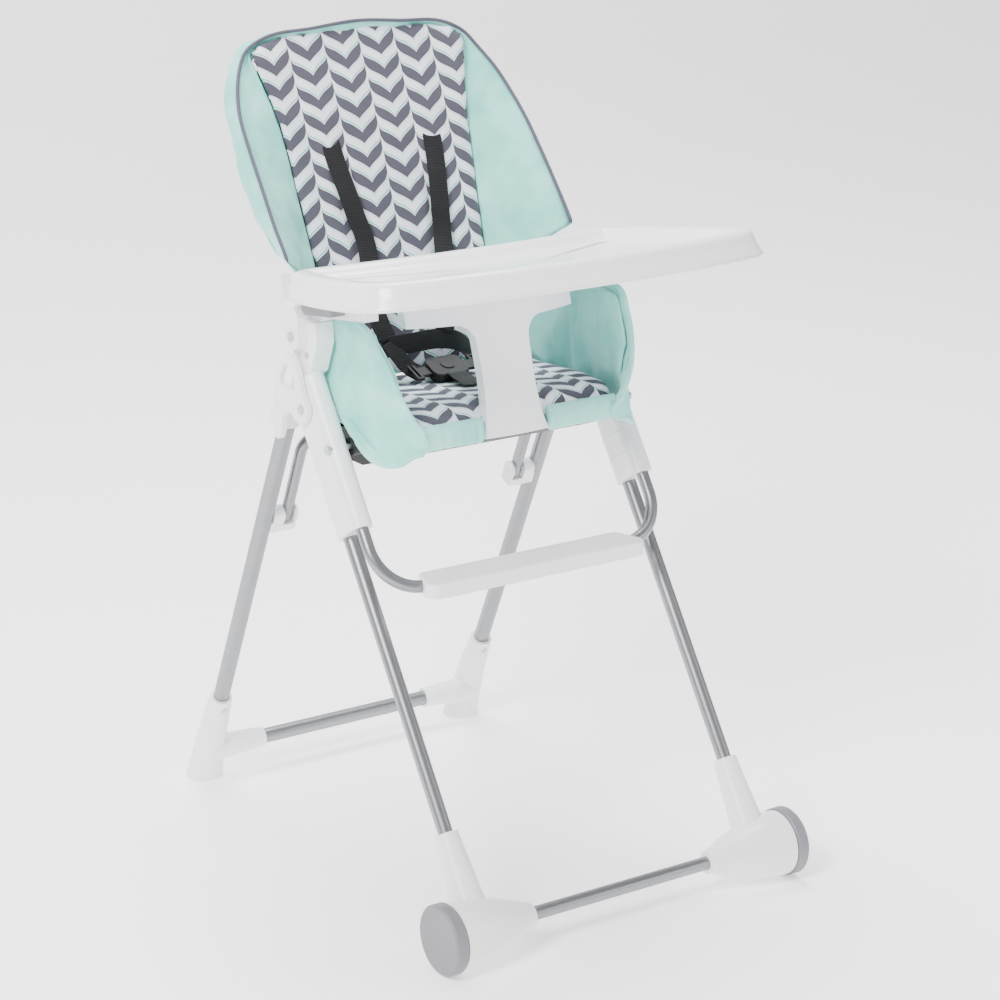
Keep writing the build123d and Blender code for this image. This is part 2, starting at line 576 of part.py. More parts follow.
def seat_pan():
    """A shallow black moulding with lugs on the sleeves and two saddles over the link tube."""
    wall = SEAT_PAN_WALL
    front = SEAT_FRONT
    rear = SEAT_REAR
    outside = [seat_at(front, 4), seat_at(-8, -24), seat_at(18, -34), seat_at(rear - 4, -36),
               seat_at(rear, -6), seat_at(front + 6, 24)]
    inside = [seat_at(front + wall + 1, 4 + wall), seat_at(-8, -24 + wall), seat_at(18, -34 + wall),
              seat_at(rear - 4 - wall, -36 + wall), seat_at(rear - wall, 9), seat_at(front + 6 + wall, 39)]
    body = side_plate(outside, -SEAT_HALF, 2 * SEAT_HALF)
    body = fillet(body.edges().filter_by(Axis.X).group_by(Axis.Z)[0], 8.0)
    body -= side_plate(inside, wall - SEAT_HALF, 2 * (SEAT_HALF - wall))
    lug_to = LEG_X - SLEEVE_R - CLEAR - 1.2
    for side in (1, -1):
        start = Vector(side * (SEAT_HALF - wall), SEAT_AT.Y, SEAT_AT.Z)
        end = Vector(side * lug_to, SEAT_AT.Y, SEAT_AT.Z)
        body += rod(start, end, BOLT_R + 8)
        body += side_plate([seat_at(-11, 0), seat_at(-9, -24), seat_at(12, -28), seat_at(11, 0)],
                           side * (SEAT_HALF - wall) - (wall if side < 0 else 0), wall)
    body -= rod(Vector(-TRACK, SEAT_AT.Y, SEAT_AT.Z), Vector(TRACK, SEAT_AT.Y, SEAT_AT.Z), BOLT_R + FIT)
    reach = LINK_TUBE_R + LINK_MOUTH
    y = SEAT_AT.Y + LINK_REAR
    z = SEAT_AT.Z + LINK_Z
    for x in (100.0, -112.0):
        ring = rod(Vector(x, y, z), Vector(x + 12, y, z), reach + 4) - rod(
            Vector(x - 1, y, z), Vector(x + 13, y, z), reach)
        body += ring & side_plate([(y - 40, z + 2), (y + 16, z + 2), (y + 16, z + 40), (y - 40, z + 40)], x, 12)
    return body - crotch_post()


def crotch_post():
    """A T: a waisted stem up from the pan's front edge and a bar that bows back to each side."""
    low = SEAT_AT.Z + 4
    bar = BACK_AT.Z + 12
    top = bar + POST_BAR_HEIGHT
    root = 26.0
    stem = POST_STEM_HALF
    outline = make_face([
        Line((-POST_FOOT_HALF, low), (POST_FOOT_HALF, low)),
        Spline((POST_FOOT_HALF, low), (stem + 2, low + 36), (stem, (low + bar) / 2), (stem + 1, bar - root)),
        ThreePointArc((stem + 1, bar - root), (stem + 8, bar - 8), (stem + root, bar)),
        Polyline((stem + root, bar), (POST_BAR_HALF, bar), (POST_BAR_HALF, top), (-POST_BAR_HALF, top),
                 (-POST_BAR_HALF, bar), (-stem - root, bar)),
        ThreePointArc((-stem - root, bar), (-stem - 8, bar - 8), (-stem - 1, bar - root)),
        Spline((-stem - 1, bar - root), (-stem, (low + bar) / 2), (-stem - 2, low + 36), (-POST_FOOT_HALF, low)),
    ])
    front = SEAT_AT.Y + POST_FRONT
    wall = extrude(Plane(origin=(0, front + 200, 0), x_dir=(1, 0, 0), z_dir=(0, -1, 0)) * outline, 400)
    lean = (BACK_AT.Y - 112 - front) / (bar - low)
    half = POST_BAR_HALF + 10
    sheets = []
    for z in (low - 20, top + 20):
        y = front + lean * (z - low)
        edge = POST_BOW * half * half
        lines = [
            ThreePointArc((-half, y + edge), (0, y), (half, y + edge)),
            Line((half, y + edge), (half, y + edge + POST_THICK)),
            ThreePointArc((half, y + edge + POST_THICK), (0, y + POST_THICK), (-half, y + edge + POST_THICK)),
            Line((-half, y + edge + POST_THICK), (-half, y + edge)),
        ]
        sheets.append(Plane(origin=(0, 0, z)) * make_face(lines))
    return wall & loft(sheets, ruled=True)


def seat_cushion():
    """A plain pad: narrow inside the pan, wider where it stands above it."""
    front = SEAT_FRONT + 15
    rear = SEAT_REAR - 14
    top = CUSHION_TOP
    inner = SEAT_HALF - SEAT_PAN_WALL - 1
    lower = side_plate([seat_at(front, 14), seat_at(-4, -12), seat_at(20, -24), seat_at(rear, -26),
                        seat_at(rear + 1, 12), seat_at(front + 4, top - 6)], -inner, 2 * inner)
    upper = side_plate([seat_at(front + 2, 26), seat_at(rear, 4), seat_at(rear + 2, top - 8),
                        seat_at(front + 6, top)], -CUSHION_HALF, 2 * CUSHION_HALF)
    return fillet((lower + upper).edges().filter_by(Axis.X).group_by(Axis.Z)[-1], 6.0)


def seat_skirt():
    """The cover's front hem between the post's foot and a side wing."""
    front = SEAT_FRONT - 10
    outline = [seat_at(front, 2), seat_at(front + 9, 3), seat_at(front + 14, 24), seat_at(front + 22, 27),
               seat_at(front + 20, 40), seat_at(front + 6, 38), seat_at(front - 3, 22)]
    return side_plate(outline, POST_FOOT_HALF + 6, WING_END_X - CLEAR - POST_FOOT_HALF - 6)


def seat_wing():
    """One side of the seat cover: flat along the sleeve, its front edge curving in across the seat."""
    outline = [seat_at(-96, -2), seat_at(-96, 40), seat_at(-88, 75), seat_at(-75, 109), seat_at(-51, 131),
               seat_at(-36, 156), seat_at(-26, 159), seat_at(7, 160), seat_at(76, 149), seat_at(100, 134),
               seat_at(62, 86), seat_at(23, 46), seat_at(-16, 14), seat_at(-50, -8), seat_at(-68, -6)]
    side = side_plate(outline, 0, TRACK)
    x = SEAT_WING_X
    inner = x - SEAT_WING_THICK
    end = WING_END_X
    plan = make_face([
        Line((x, SEAT_AT.Y + 130), (x, SEAT_AT.Y + 6)),
        Spline((x, SEAT_AT.Y + 6), (x - 2, SEAT_AT.Y - 36), (x - 9, SEAT_AT.Y - 68), (x - 22, SEAT_AT.Y - 86),
               (end, SEAT_AT.Y - 92), tangents=((0, -1), (-1, 0))),
        Line((end, SEAT_AT.Y - 92), (end, SEAT_AT.Y - 81)),
        Spline((end, SEAT_AT.Y - 81), (inner - 16, SEAT_AT.Y - 77), (inner - 5, SEAT_AT.Y - 62),
               (inner - 1, SEAT_AT.Y - 32), (inner, SEAT_AT.Y + 6), tangents=((1, 0), (0, 1))),
        Polyline((inner, SEAT_AT.Y + 6), (inner, SEAT_AT.Y + 130), (x, SEAT_AT.Y + 130)),
    ])
    band = extrude(Plane(origin=(0, 0, SEAT_AT.Z - 60)) * plan, 300)
    corner = [(end - 9, SEAT_AT.Z + 20), (end + 1, SEAT_AT.Z + 24), (end + 16, SEAT_AT.Z + 44),
              (end + 31, SEAT_AT.Z + 80), (end + 31, SEAT_AT.Z + 300), (end - 9, SEAT_AT.Z + 300)]
    cut = extrude(Plane(origin=(0, SEAT_AT.Y - 58, 0), x_dir=(1, 0, 0), z_dir=(0, -1, 0))
                  * make_face(Polyline(*corner, close=True)), 90)
    return (side & band) - cut


# ---------------------------------------------------------------- harness on the seat
BUCKLE_AT = (86.0, 52.0)      # buckle's middle, from the seat pivot (y, z)
BUTTON_TRAVEL = 3.0


def strap_point(x, dy, dz):
    """A strap point given across, and from the seat pivot."""
    return Vector(x, *seat_at(dy, dz))


def buckle_plane():
    """On the buckle's middle, local z square to its face, local y up its length."""
    return Plane(origin=strap_point(0, *BUCKLE_AT), x_dir=(1, 0, 0), z_dir=(0, -0.34, 0.94))


def buckle_body():
    """A rounded case with a round pocket for the button and a slot at each side for the tongues."""
    body = Box(54, 42, 13)
    body = fillet(body.edges().filter_by(Axis.Z), 12)
    body = fillet(body.edges().group_by(Axis.Z)[-1], 2)
    body -= Pos(0, 0, 6.5 - 3) * Cylinder(9.5 + CLEAR, 12)
    for side in (1, -1):
        body -= Pos(side * 24, 0, 0) * Box(14, 18, 5)
    return buckle_plane() * body


def buckle_button():
    """A round button that stands 1.5 mm out of the case."""
    return buckle_plane() * (Pos(0, 0, 6.5 - 9 + BUTTON_TRAVEL + 3.0 + 1.5) * Cylinder(9.5, 6))


def buckle_tongue():
    """A flat tongue with a slotted eye for the straps."""
    body = Pos(31, 0, 0) * Box(27, 17.4, 4.4)
    body += Pos(46, 2, 0) * Box(10, 34, 4.4)
    return buckle_plane() * (body - Pos(46.5, 2, 0) * Box(3.4, 29, 9))


def harness():
    """Straps and buckle that stay with the seat."""
    node("buckle_body", buckle_body())
    node("buckle_button", buckle_button())
    pair("buckle_tongue", buckle_tongue())
    crotch = [strap_point(0, 14, 38), strap_point(0, 40, 39.5), strap_point(0, 65, 43)]
    node("crotch_strap", ribbon(crotch))
    waist = [strap_point(56, 88, 50), strap_point(84, 98, 49), strap_point(120, 106, 44), strap_point(146, 112, 40)]
    pair("waist_strap", ribbon(waist, width=24))


# ---------------------------------------------------------------- backrest
COVER_LOW_REAR = 58.0         # cover's lower edge at its rear
COVER_LOW_RIM = -8.0          # and at its rim
BOARD_THICK = 4.0
COVER_FLOOR = PAD_THICK + BOARD_THICK - PAD_PROUD     # the cover's floor behind the panel's plane


def back_plane(ahead=0.0):
    """On the back panel's foot: local x is +X, local y runs up the back, local z points forward."""
    tilt = radians(BACK_LEAN)
    forward = Vector(0, -cos(tilt), sin(tilt))
    origin = BACK_AT + Vector(0, *BACK_ORIGIN) + forward * ahead
    return Plane(origin=origin, x_dir=(1, 0, 0), z_dir=forward)


def rim_plane():
    """The plane that the cover's rim lies in, leaning from the back panel's plane."""
    base = back_plane(BACK_RIM_DEPTH)
    tilt = radians(BACK_LEAN)
    up = Vector(0, sin(tilt), cos(tilt))
    forward = Vector(0, -cos(tilt), sin(tilt))
    normal = forward + up * BACK_RIM_SLOPE
    return Plane(origin=base.origin, x_dir=(1, 0, 0), z_dir=normal)


def shield(low, half_low, half_mid, half_top, shoulder, crown, height):
    """A rounded-top outline: straight foot, gently curved sides, round shoulders, crowned top."""
    side = (shoulder + low) / 2
    corner = (half_top * 0.885, shoulder + (crown - shoulder) * 0.64)
    upper = (half_top * 0.63, crown)
    return make_face([
        Line((-half_low, low), (half_low, low)),
        ThreePointArc((half_low, low), (half_mid, side), (half_top, shoulder)),
        ThreePointArc((half_top, shoulder), corner, upper),
        ThreePointArc(upper, (0, height), (-upper[0], upper[1])),
        ThreePointArc((-upper[0], upper[1]), (-corner[0], corner[1]), (-half_top, shoulder)),
        ThreePointArc((-half_top, shoulder), (-half_mid, side), (-half_low, low)),
    ])


def rim_outline(inset=0.0, low=COVER_LOW_RIM):
    """The rim seen square to its plane, drawn inwards by inset."""
    stretch = (1 + BACK_RIM_SLOPE ** 2) ** 0.5
    half = BACK_HALF - inset
    high = BACK_HEIGHT - inset
    return shield(low, half, half - 1, half - 10, 0.625 * high * stretch, 0.965 * high * stretch, high * stretch)


def pad_outline(inset=0.0, low=-BACK_BELOW):
    """The padded panel's outline, wider towards its top."""
    high = PAD_HEIGHT - inset
    return shield(low, PAD_HALF_LOW - inset, PAD_HALF_LOW + 12 - inset, PAD_HALF_HIGH - inset,
                  high - 52, high - 8, high)


def hoop_path():
    """The hoop's middle line: inside the rim low down, behind the board at the top."""
    half = BACK_HALF - HOOP_R - 3.0
    flat = [(half, -14), (half - 1, 108), (half - 22, 224), (half - 47, 268), (half - 95, 297), (0, 303)]
    flat = flat + [(-x, u) for x, u in reversed(flat[:-1])]
    plane = back_plane()
    return [plane.from_local_coords(Vector(x, u, 68 - 0.30 * u)) for x, u in flat]


def piping():
    """The corded edge round the rim, half sunk in the cover."""
    half = BACK_HALF - 2.0
    stretch = (1 + BACK_RIM_SLOPE ** 2) ** 0.5
    high = (BACK_HEIGHT - 2.0) * stretch
    side = [(half, 2.0), (half - 1.5, 0.33 * high), (half - 10, 0.63 * high), (half * 0.84, 0.855 * high),
            (half * 0.58, 0.972 * high), (half * 0.28, 0.994 * high)]
    line = Spline(*side, (0.0, high), *[(-x, u) for x, u in reversed(side)])
    path = rim_plane() * line
    return sweep(Plane(origin=path @ 0, z_dir=path % 0) * Circle(PIPING_R), path=path)


def back_cover():
    """The cover's outer shape: a scoop from the rim to a flat rear, open below, with room for the hoop."""
    rear = back_plane(-COVER_FLOOR - BACK_THICK) * shield(
        COVER_LOW_REAR, PAD_HALF_LOW + 42, PAD_HALF_LOW + 50, PAD_HALF_HIGH + 18, 240, 294, 306)
    outside = loft([rear, rim_plane() * rim_outline()], ruled=True)
    floor = back_plane(-COVER_FLOOR) * pad_outline(-1.5, low=-40)
    beyond = Plane(origin=rim_plane().origin + rim_plane().z_dir * 2, x_dir=(1, 0, 0), z_dir=rim_plane().z_dir)
    scoop = loft([floor, beyond * rim_outline(6.0, low=-110)], ruled=True)
    return outside - scoop - bent(hoop_path(), 30.0, HOOP_R) - piping()


def back_arm():
    """A moulded lever from the backrest pivot up to the hoop's lower end."""
    y = BACK_AT.Y
    z = BACK_AT.Z
    end = hoop_path()[0]
    outline = [
        (y - 15.5, z + 4), (y - 17, z + 28), (y - 8, z + 38), (y + 16, z + 44), (y + 20, z + 60),
        (y + 24, z + 74), (end.Y - 4, end.Z + 2), (end.Y + 8, end.Z - 4), (y + 44, z + 48), (y + 27, z + 16),
        (y + 16, z - 3),
    ]
    plate = side_plate(outline, ARM_X, ARM_THICK)
    plate += rod(Vector(ARM_X, y, z), Vector(ARM_X + ARM_THICK, y, z), ARM_END_R)
    socket_x = BACK_HALF - HOOP_R - 3.0
    block = side_plate([(end.Y - 16, end.Z - 26), (end.Y + 10, end.Z - 30), (end.Y + 12, end.Z - 6),
                        (end.Y - 2, end.Z + 2), (end.Y - 16, end.Z - 4)],
                       socket_x - HOOP_R - 4, ARM_X + 2 - socket_x + HOOP_R + 4)
    body = plate + block
    body -= bent(hoop_path(), 30.0, HOOP_R)
    return body - rod(Vector(0, y, z), Vector(TRACK, y, z), BOLT_R + FIT)


def shoulder_strap():
    """From a slot in the back pad down towards the buckle."""
    plane = back_plane()
    start = plane.from_local_coords(Vector(77, 164, 5))
    next_to = plane.from_local_coords(Vector(76, 150, 8))
    low = plane.from_local_coords(Vector(56, -2, 4 + 8))
    return ribbon([
        start,
        next_to,
        plane.from_local_coords(Vector(66, 75, 9)),
        low,
        BACK_AT + Vector(46, 84, 2),
        BACK_AT + Vector(38, 50, -24),
    ])


def backrest():
    """Everything that reclines."""
    pair("back_arm", back_arm())
    node("back_hoop", bent(hoop_path(), 30.0, HOOP_R, TUBE_WALL))
    node("back_board", extrude(back_plane(-COVER_FLOOR) * pad_outline(4.0, low=-60), BOARD_THICK))
    node("back_pad", extrude(back_plane(PAD_PROUD - PAD_THICK) * pad_outline(), PAD_THICK))
    node("back_cover", back_cover())
    node("back_piping", piping())
    pair("shoulder_strap", shoulder_strap())


# ---------------------------------------------------------------- tray
RUNNER_WALL = 3.0
RUNNER_GAP = 0.6


def tray_outline(grow=0.0):
    """Half outline and its mirror: bowed front, round corners, sides drawn in to the rear, bowed rear."""
    middle = -0.44 * TRAY_DEPTH
    sx = 1 + grow / TRAY_HALF
    sy = 1 + grow / (TRAY_DEPTH * 0.56)

    def at(x, y):
        return (x * TRAY_HALF * sx, middle + (y * TRAY_DEPTH - middle) * sy)

    right = [
        (ThreePointArc, [(0.0, -1.007), (0.40, -0.986), (0.75, -0.915)]),
        (ThreePointArc, [(0.75, -0.915), (0.945, -0.835), (1.0, -0.70)]),
        (ThreePointArc, [(1.0, -0.70), (0.972, -0.37), (0.90, -0.05)]),
        (ThreePointArc, [(0.90, -0.05), (0.852, 0.085), (0.735, 0.122)]),
        (ThreePointArc, [(0.735, 0.122), (0.37, 0.052), (0.0, 0.028)]),
    ]
    edges = [kind(*[at(x, y) for x, y in points]) for kind, points in right]
    edges += [kind(*[at(-x, y) for x, y in reversed(points)]) for kind, points in reversed(right)]
    return make_face(edges)


def level(z):
    """The tray's plane shifted squarely by z."""
    plane = tray_plane()
    return Plane(origin=plane.origin + plane.z_dir * z, x_dir=plane.x_dir, z_dir=plane.z_dir)


def tray():
    """A dished top with a rounded rim and a flared fascia, hollow beneath, notched behind for the armrests."""
    under = TRAY_DISH + TRAY_WALL
    flare_at_floor = TRAY_FLARE * under / TRAY_FASCIA
    body = loft([level(-TRAY_FASCIA) * tray_outline(TRAY_FLARE), level(-3) * tray_outline(0.8),
                 level(0) * tray_outline(-3)], ruled=True)
    body -= loft([level(-TRAY_DISH) * tray_outline(-TRAY_RIM - 8), level(0.1) * tray_outline(-TRAY_RIM)], ruled=True)
    body -= loft([level(-TRAY_FASCIA - 0.1) * tray_outline(TRAY_FLARE - TRAY_WALL),
                  level(-under) * tray_outline(flare_at_floor - TRAY_WALL)], ruled=True)
    ring = loft([level(-under - 0.1) * tray_outline(flare_at_floor - TRAY_WALL),
                 level(-TRAY_WALL - 2) * tray_outline(-TRAY_WALL - 1)], ruled=True)
    ring -= loft([level(-under - 0.2) * tray_outline(-TRAY_RIM - 6),
                  level(-TRAY_WALL - 1.9) * tray_outline(-TRAY_RIM + TRAY_WALL)], ruled=True)
    body -= ring
    near, far = ARMREST_X - ARMREST_HEAD_HALF - 2, ARMREST_X + ARMREST_HEAD_HALF + 2
    for low, high in ((near, far), (-far, -near)):
        body -= tray_block((low, high), (0, 70), (-TRAY_FASCIA - 5, 1.0 - ARMREST_TOP))
    return body


def runner():
    """A channel under the tray with lips beneath the armrest's head."""
    head_low = -ARMREST_TOP - ARMREST_HEAD
    inner = ARMREST_X - ARMREST_HEAD_HALF - RUNNER_GAP
    outer = ARMREST_X + ARMREST_HEAD_HALF + RUNNER_GAP
    length = (-104.0, -14.0)
    top = -TRAY_DISH - TRAY_WALL
    low = head_low - RUNNER_GAP - RUNNER_WALL
    body = tray_block((inner - RUNNER_WALL, outer + RUNNER_WALL), length, (low, top))
    body -= tray_block((inner, outer), (length[0] - 1, length[1] + 1), (head_low - RUNNER_GAP, top - RUNNER_WALL + 1))
    gap = ARMREST_STEM_HALF + RUNNER_GAP
    return body - tray_block((ARMREST_X - gap, ARMREST_X + gap), (length[0] - 1, length[1] + 1), (low - 1, top - 5))


def latch():
    """A grey lever under the tray's side, drawn outwards to free the tray."""
    inner = ARMREST_X + ARMREST_HEAD_HALF + RUNNER_GAP + RUNNER_WALL + CLEAR + 0.2
    body = tray_block((inner, inner + 20), (-66, 4), (-TRAY_FASCIA - 19, -TRAY_FASCIA + 6))
    return fillet(body.edges().filter_by(Axis.X).group_by(Axis.Z)[0], 8.0)


def tray_group():
    """The tray and what slides with it."""
    node("tray", tray())
    pair("tray_runner", runner())
    pair("tray_latch", latch())


def seat():
    """Everything that turns about the seat pivots."""
    node("seat_pan", seat_pan())
    node("crotch_post", crotch_post())
    node("seat_cushion", seat_cushion())
    pair("seat_skirt", seat_skirt())
    pair("seat_wing", seat_wing())
    harness()


def main():
    """Builds every sub-part and writes one STEP file for each."""
    front_frame()
    rear_frame()
    seat()
    backrest()
    tray_group()
    os.makedirs("parts", exist_ok=True)
    for name, shape in NODES.items():
        export_step(shape, os.path.join("parts", name + ".step"))


main()
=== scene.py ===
"""Looks of the folding baby high chair: soft goods, tray skin, harness, materials, floor, light and camera.

Everything is in metres in the row frame: +Z up, the chair faces -Y, +X is the sitter's left. Shapes are
written in millimetres and scaled by MM. Each soft piece takes the place of its plain CAD solid.
"""
import json
import math

import bmesh
import bpy
import numpy as np
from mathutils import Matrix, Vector


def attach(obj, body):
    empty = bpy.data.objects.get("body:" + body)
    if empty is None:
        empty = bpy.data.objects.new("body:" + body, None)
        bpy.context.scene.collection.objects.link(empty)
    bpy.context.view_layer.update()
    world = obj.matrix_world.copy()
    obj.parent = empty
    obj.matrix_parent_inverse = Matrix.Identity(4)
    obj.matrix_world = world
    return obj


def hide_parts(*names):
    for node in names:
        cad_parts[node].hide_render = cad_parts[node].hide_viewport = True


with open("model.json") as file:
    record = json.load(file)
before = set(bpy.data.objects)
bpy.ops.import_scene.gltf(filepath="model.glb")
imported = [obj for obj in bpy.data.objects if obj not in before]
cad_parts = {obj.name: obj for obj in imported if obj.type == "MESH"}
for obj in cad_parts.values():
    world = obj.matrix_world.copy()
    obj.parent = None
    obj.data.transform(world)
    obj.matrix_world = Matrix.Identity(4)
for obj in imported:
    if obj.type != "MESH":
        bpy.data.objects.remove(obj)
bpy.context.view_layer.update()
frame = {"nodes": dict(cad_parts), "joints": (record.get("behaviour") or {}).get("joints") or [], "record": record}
MM = 0.001
JOINTS = {j["name"]: j for j in frame["joints"]}
SEAT = np.array(JOINTS["seat_tilt"]["pos_m"]) / MM            # seat pivot
BACK = np.array(JOINTS["backrest_recline"]["pos_m"]) / MM     # backrest pivot
LEAN = math.radians(22.5)
TILT = math.radians(8.5)
WEB_THICK = 1.5
BACK_FOOT = BACK + np.array([0, 120.6, 51.0])                 # foot of the visible back panel
BACK_UP = np.array([0, math.sin(LEAN), math.cos(LEAN)])
BACK_FORE = np.array([0, -math.cos(LEAN), math.sin(LEAN)])
TRAY_REAR = BACK + np.array([0, -35.4, 89.0])                 # rear middle of the tray's rim
TRAY_Y = np.array([0, math.cos(TILT), -math.sin(TILT)])
TRAY_Z = np.array([0, math.sin(TILT), math.cos(TILT)])


# ---------------------------------------------------------------- places
def on_back(x, u, v):
    """x across, u up the back panel from its foot, v in front of its plane, to the row frame."""
    x, u, v = np.broadcast_arrays(np.asarray(x, float), u, v)
    p = BACK_FOOT + u[..., None] * BACK_UP + v[..., None] * BACK_FORE
    p[..., 0] = x
    return p


def at_seat(x, dy, dz):
    """x across, dy behind and dz above the seat pivot, to the row frame."""
    x, dy, dz = np.broadcast_arrays(np.asarray(x, float), dy, dz)
    return np.stack([x, SEAT[1] + dy, SEAT[2] + dz], -1)


def on_tray(x, y, z):
    """x across, y to the rear and z squarely above the tray's rim plane, to the row frame."""
    x, y, z = np.broadcast_arrays(np.asarray(x, float), y, z)
    p = TRAY_REAR + y[..., None] * TRAY_Y + z[..., None] * TRAY_Z
    p[..., 0] = x
    return p


def smooth(points, count, closed=False):
    """A Catmull-Rom curve through the points, resampled to even steps."""
    p = np.array(points, float)
    if closed:
        q = np.vstack([p[-1], p, p[0], p[1]])
    else:
        q = np.vstack([2 * p[0] - p[1], p, 2 * p[-1] - p[-2]])
    t = np.linspace(0, 1, 24, endpoint=False)[:, None]
    runs = []
    for a, b, c, d in zip(q[:-3], q[1:-2], q[2:-1], q[3:]):
        runs.append(0.5 * (2 * b + (c - a) * t + (2 * a - 5 * b + 4 * c - d) * t ** 2
                           + (3 * b - a - 3 * c + d) * t ** 3))
    line = np.vstack(runs + ([] if closed else [p[-1:]]))
    if closed:
        line = np.vstack([line, line[:1]])
    s = np.r_[0, np.cumsum(np.linalg.norm(np.diff(line, axis=0), axis=1))]
    want = np.linspace(0, s[-1], count + 1 if closed else count)
    out = np.stack([np.interp(want, s, line[:, k]) for k in range(line.shape[1])], 1)
    return out[:-1] if closed else out


def step(a, b, t):
    """0 before a, 1 after b, smooth between."""
    t = np.clip((t - a) / (b - a), 0, 1)
    return t * t * (3 - 2 * t)


def ripple(p, scale, seed, octaves=3):
    """Smooth noise of about unit height made of a few crossed waves, scale in millimetres."""
    rng = np.random.default_rng(seed)
    out = np.zeros(p.shape[:-1])
    for k in range(octaves):
        for _ in range(4):
            w = rng.normal(size=3)
            w *= 2 * math.pi / (scale * 0.55 ** k) / np.linalg.norm(w)
            out += 0.6 ** k * np.sin(p @ w + rng.uniform(0, 6.3)) / 4
    return out * 1.6


# ---------------------------------------------------------------- meshes
def mesh_object(name, verts, faces):
    """A smooth-shaded object from millimetre vertices, its faces turned outwards."""
    me = bpy.data.meshes.new(name)
    me.from_pydata((np.asarray(verts) * MM).tolist(), [], faces)
    me.update()
    bm = bmesh.new()
    bm.from_mesh(me)
    bmesh.ops.remove_doubles(bm, verts=bm.verts, dist=2e-6)
    bmesh.ops.recalc_face_normals(bm, faces=bm.faces)
    bm.to_mesh(me)
    bm.free()
    me.polygons.foreach_set("use_smooth", [True] * len(me.polygons))
    ob = bpy.data.objects.new(name, me)
    bpy.context.scene.collection.objects.link(ob)
    return ob


def grid_faces(n, m, base=0, wrap_n=False, wrap_m=False):
    """Quads of an n by m grid of vertices that are numbered row by row."""
    faces = []
    for i in range(n if wrap_n else n - 1):
        for j in range(m if wrap_m else m - 1):
            a, b = base + i * m + j, base + i * m + (j + 1) % m
            c, d = base + ((i + 1) % n) * m + (j + 1) % m, base + ((i + 1) % n) * m + j
            faces.append((a, b, c, d))
    return faces


def end_caps(n, k):
    """The two end faces of n rings of k vertices."""
    return [tuple(range(k))[::-1], tuple(range((n - 1) * k, n * k))]


def normals(p):
    """Unit normals of a grid of points."""
    n = np.cross(np.gradient(p, axis=0), np.gradient(p, axis=1))
    return n / np.maximum(np.linalg.norm(n, axis=-1, keepdims=True), 1e-9)


def pillow(name, mid, front, back):
    """A closed pad: mid pushed out along its normals by front and back, which fall to 0 at its edges."""
    n, m = mid.shape[:2]
    nr = normals(mid)
    a = mid + nr * front[..., None]
    b = mid - nr * back[..., None]
    verts = np.vstack([a.reshape(-1, 3), b.reshape(-1, 3)])
    faces = grid_faces(n, m) + [f[::-1] for f in grid_faces(n, m, n * m)]
    ring = [(i, 0) for i in range(n)] + [(n - 1, j) for j in range(1, m)]
    ring += [(i, m - 1) for i in range(n - 2, -1, -1)] + [(0, j) for j in range(m - 2, 0, -1)]
    k = [i * m + j for i, j in ring]
    faces += [(p, q, q + n * m, p + n * m) for p, q in zip(k, k[1:] + k[:1])]
    return mesh_object(name, verts, faces)


def edge_fall(n, m, reach):
    """1 inside and 0 on the border of an n by m grid, rounding off over reach, a share of each side."""
    i = np.linspace(0, 1, n)[:, None]
    j = np.linspace(0, 1, m)[None, :]
    ri, rj = (reach, reach) if np.isscalar(reach) else reach
    a = np.clip(np.minimum(i, 1 - i) / ri, 0, 1)
    b = np.clip(np.minimum(j, 1 - j) / rj, 0, 1)
    return np.sqrt(1 - (1 - a) ** 2) * np.sqrt(1 - (1 - b) ** 2)


def tube_along(name, path, radius, sides):
    """A round cord along the points, drawn in at both ends and closed there."""
    p = np.asarray(path, float)
    t = np.gradient(p, axis=0)
    t /= np.linalg.norm(t, axis=1, keepdims=True)
    up = np.cross(t[0], [0, 0, 1.0])
    if np.linalg.norm(up) < 0.1:
        up = np.cross(t[0], [1.0, 0, 0])
    rings, ang = [], np.linspace(0, 2 * math.pi, sides, endpoint=False)
    rad = np.full(len(p), radius)
    rad[0] = rad[-1] = radius * 0.35
    for k in range(len(p)):
        up = up - t[k] * (up @ t[k])
        up /= np.linalg.norm(up)
        side = np.cross(t[k], up)
        rings.append(p[k] + rad[k] * (np.cos(ang)[:, None] * up + np.sin(ang)[:, None] * side))
    verts = np.vstack(rings)
    faces = grid_faces(len(p), sides, wrap_m=True) + end_caps(len(p), sides)
    return mesh_object(name, verts, faces)


def strap_along(name, path, width, steps, across=(1.0, 0, 0)):
    """Flat webbing along the points: a rounded flat section, its width along across."""
    p = smooth(path, steps)
    t = np.gradient(p, axis=0)
    t /= np.linalg.norm(t, axis=1, keepdims=True)
    w0 = np.repeat(np.asarray(across, float)[None], len(p), 0)
    w = w0 - t * np.sum(w0 * t, axis=1, keepdims=True)
    w /= np.linalg.norm(w, axis=1, keepdims=True)
    h = np.cross(t, w)
    sx = np.array([-0.5, -0.49, -0.46, 0, 0.46, 0.49, 0.5, 0.49, 0.46, 0, -0.46, -0.49])
    sy = np.array([0, 0.35, 0.5, 0.5, 0.5, 0.35, 0, -0.35, -0.5, -0.5, -0.5, -0.35])
    verts = p[:, None] + w[:, None] * (sx * width)[None, :, None] + h[:, None] * (sy * WEB_THICK)[None, :, None]
    k = len(sx)
    return mesh_object(name, verts.reshape(-1, 3), grid_faces(len(p), k, wrap_m=True) + end_caps(len(p), k))


# ---------------------------------------------------------------- node helpers
def srgb(code):
    """A hex colour as linear values."""
    v = [int(code[i:i + 2], 16) / 255 for i in (0, 2, 4)]
    return tuple(c / 12.92 if c <= 0.04045 else ((c + 0.055) / 1.055) ** 2.4 for c in v) + (1.0,)


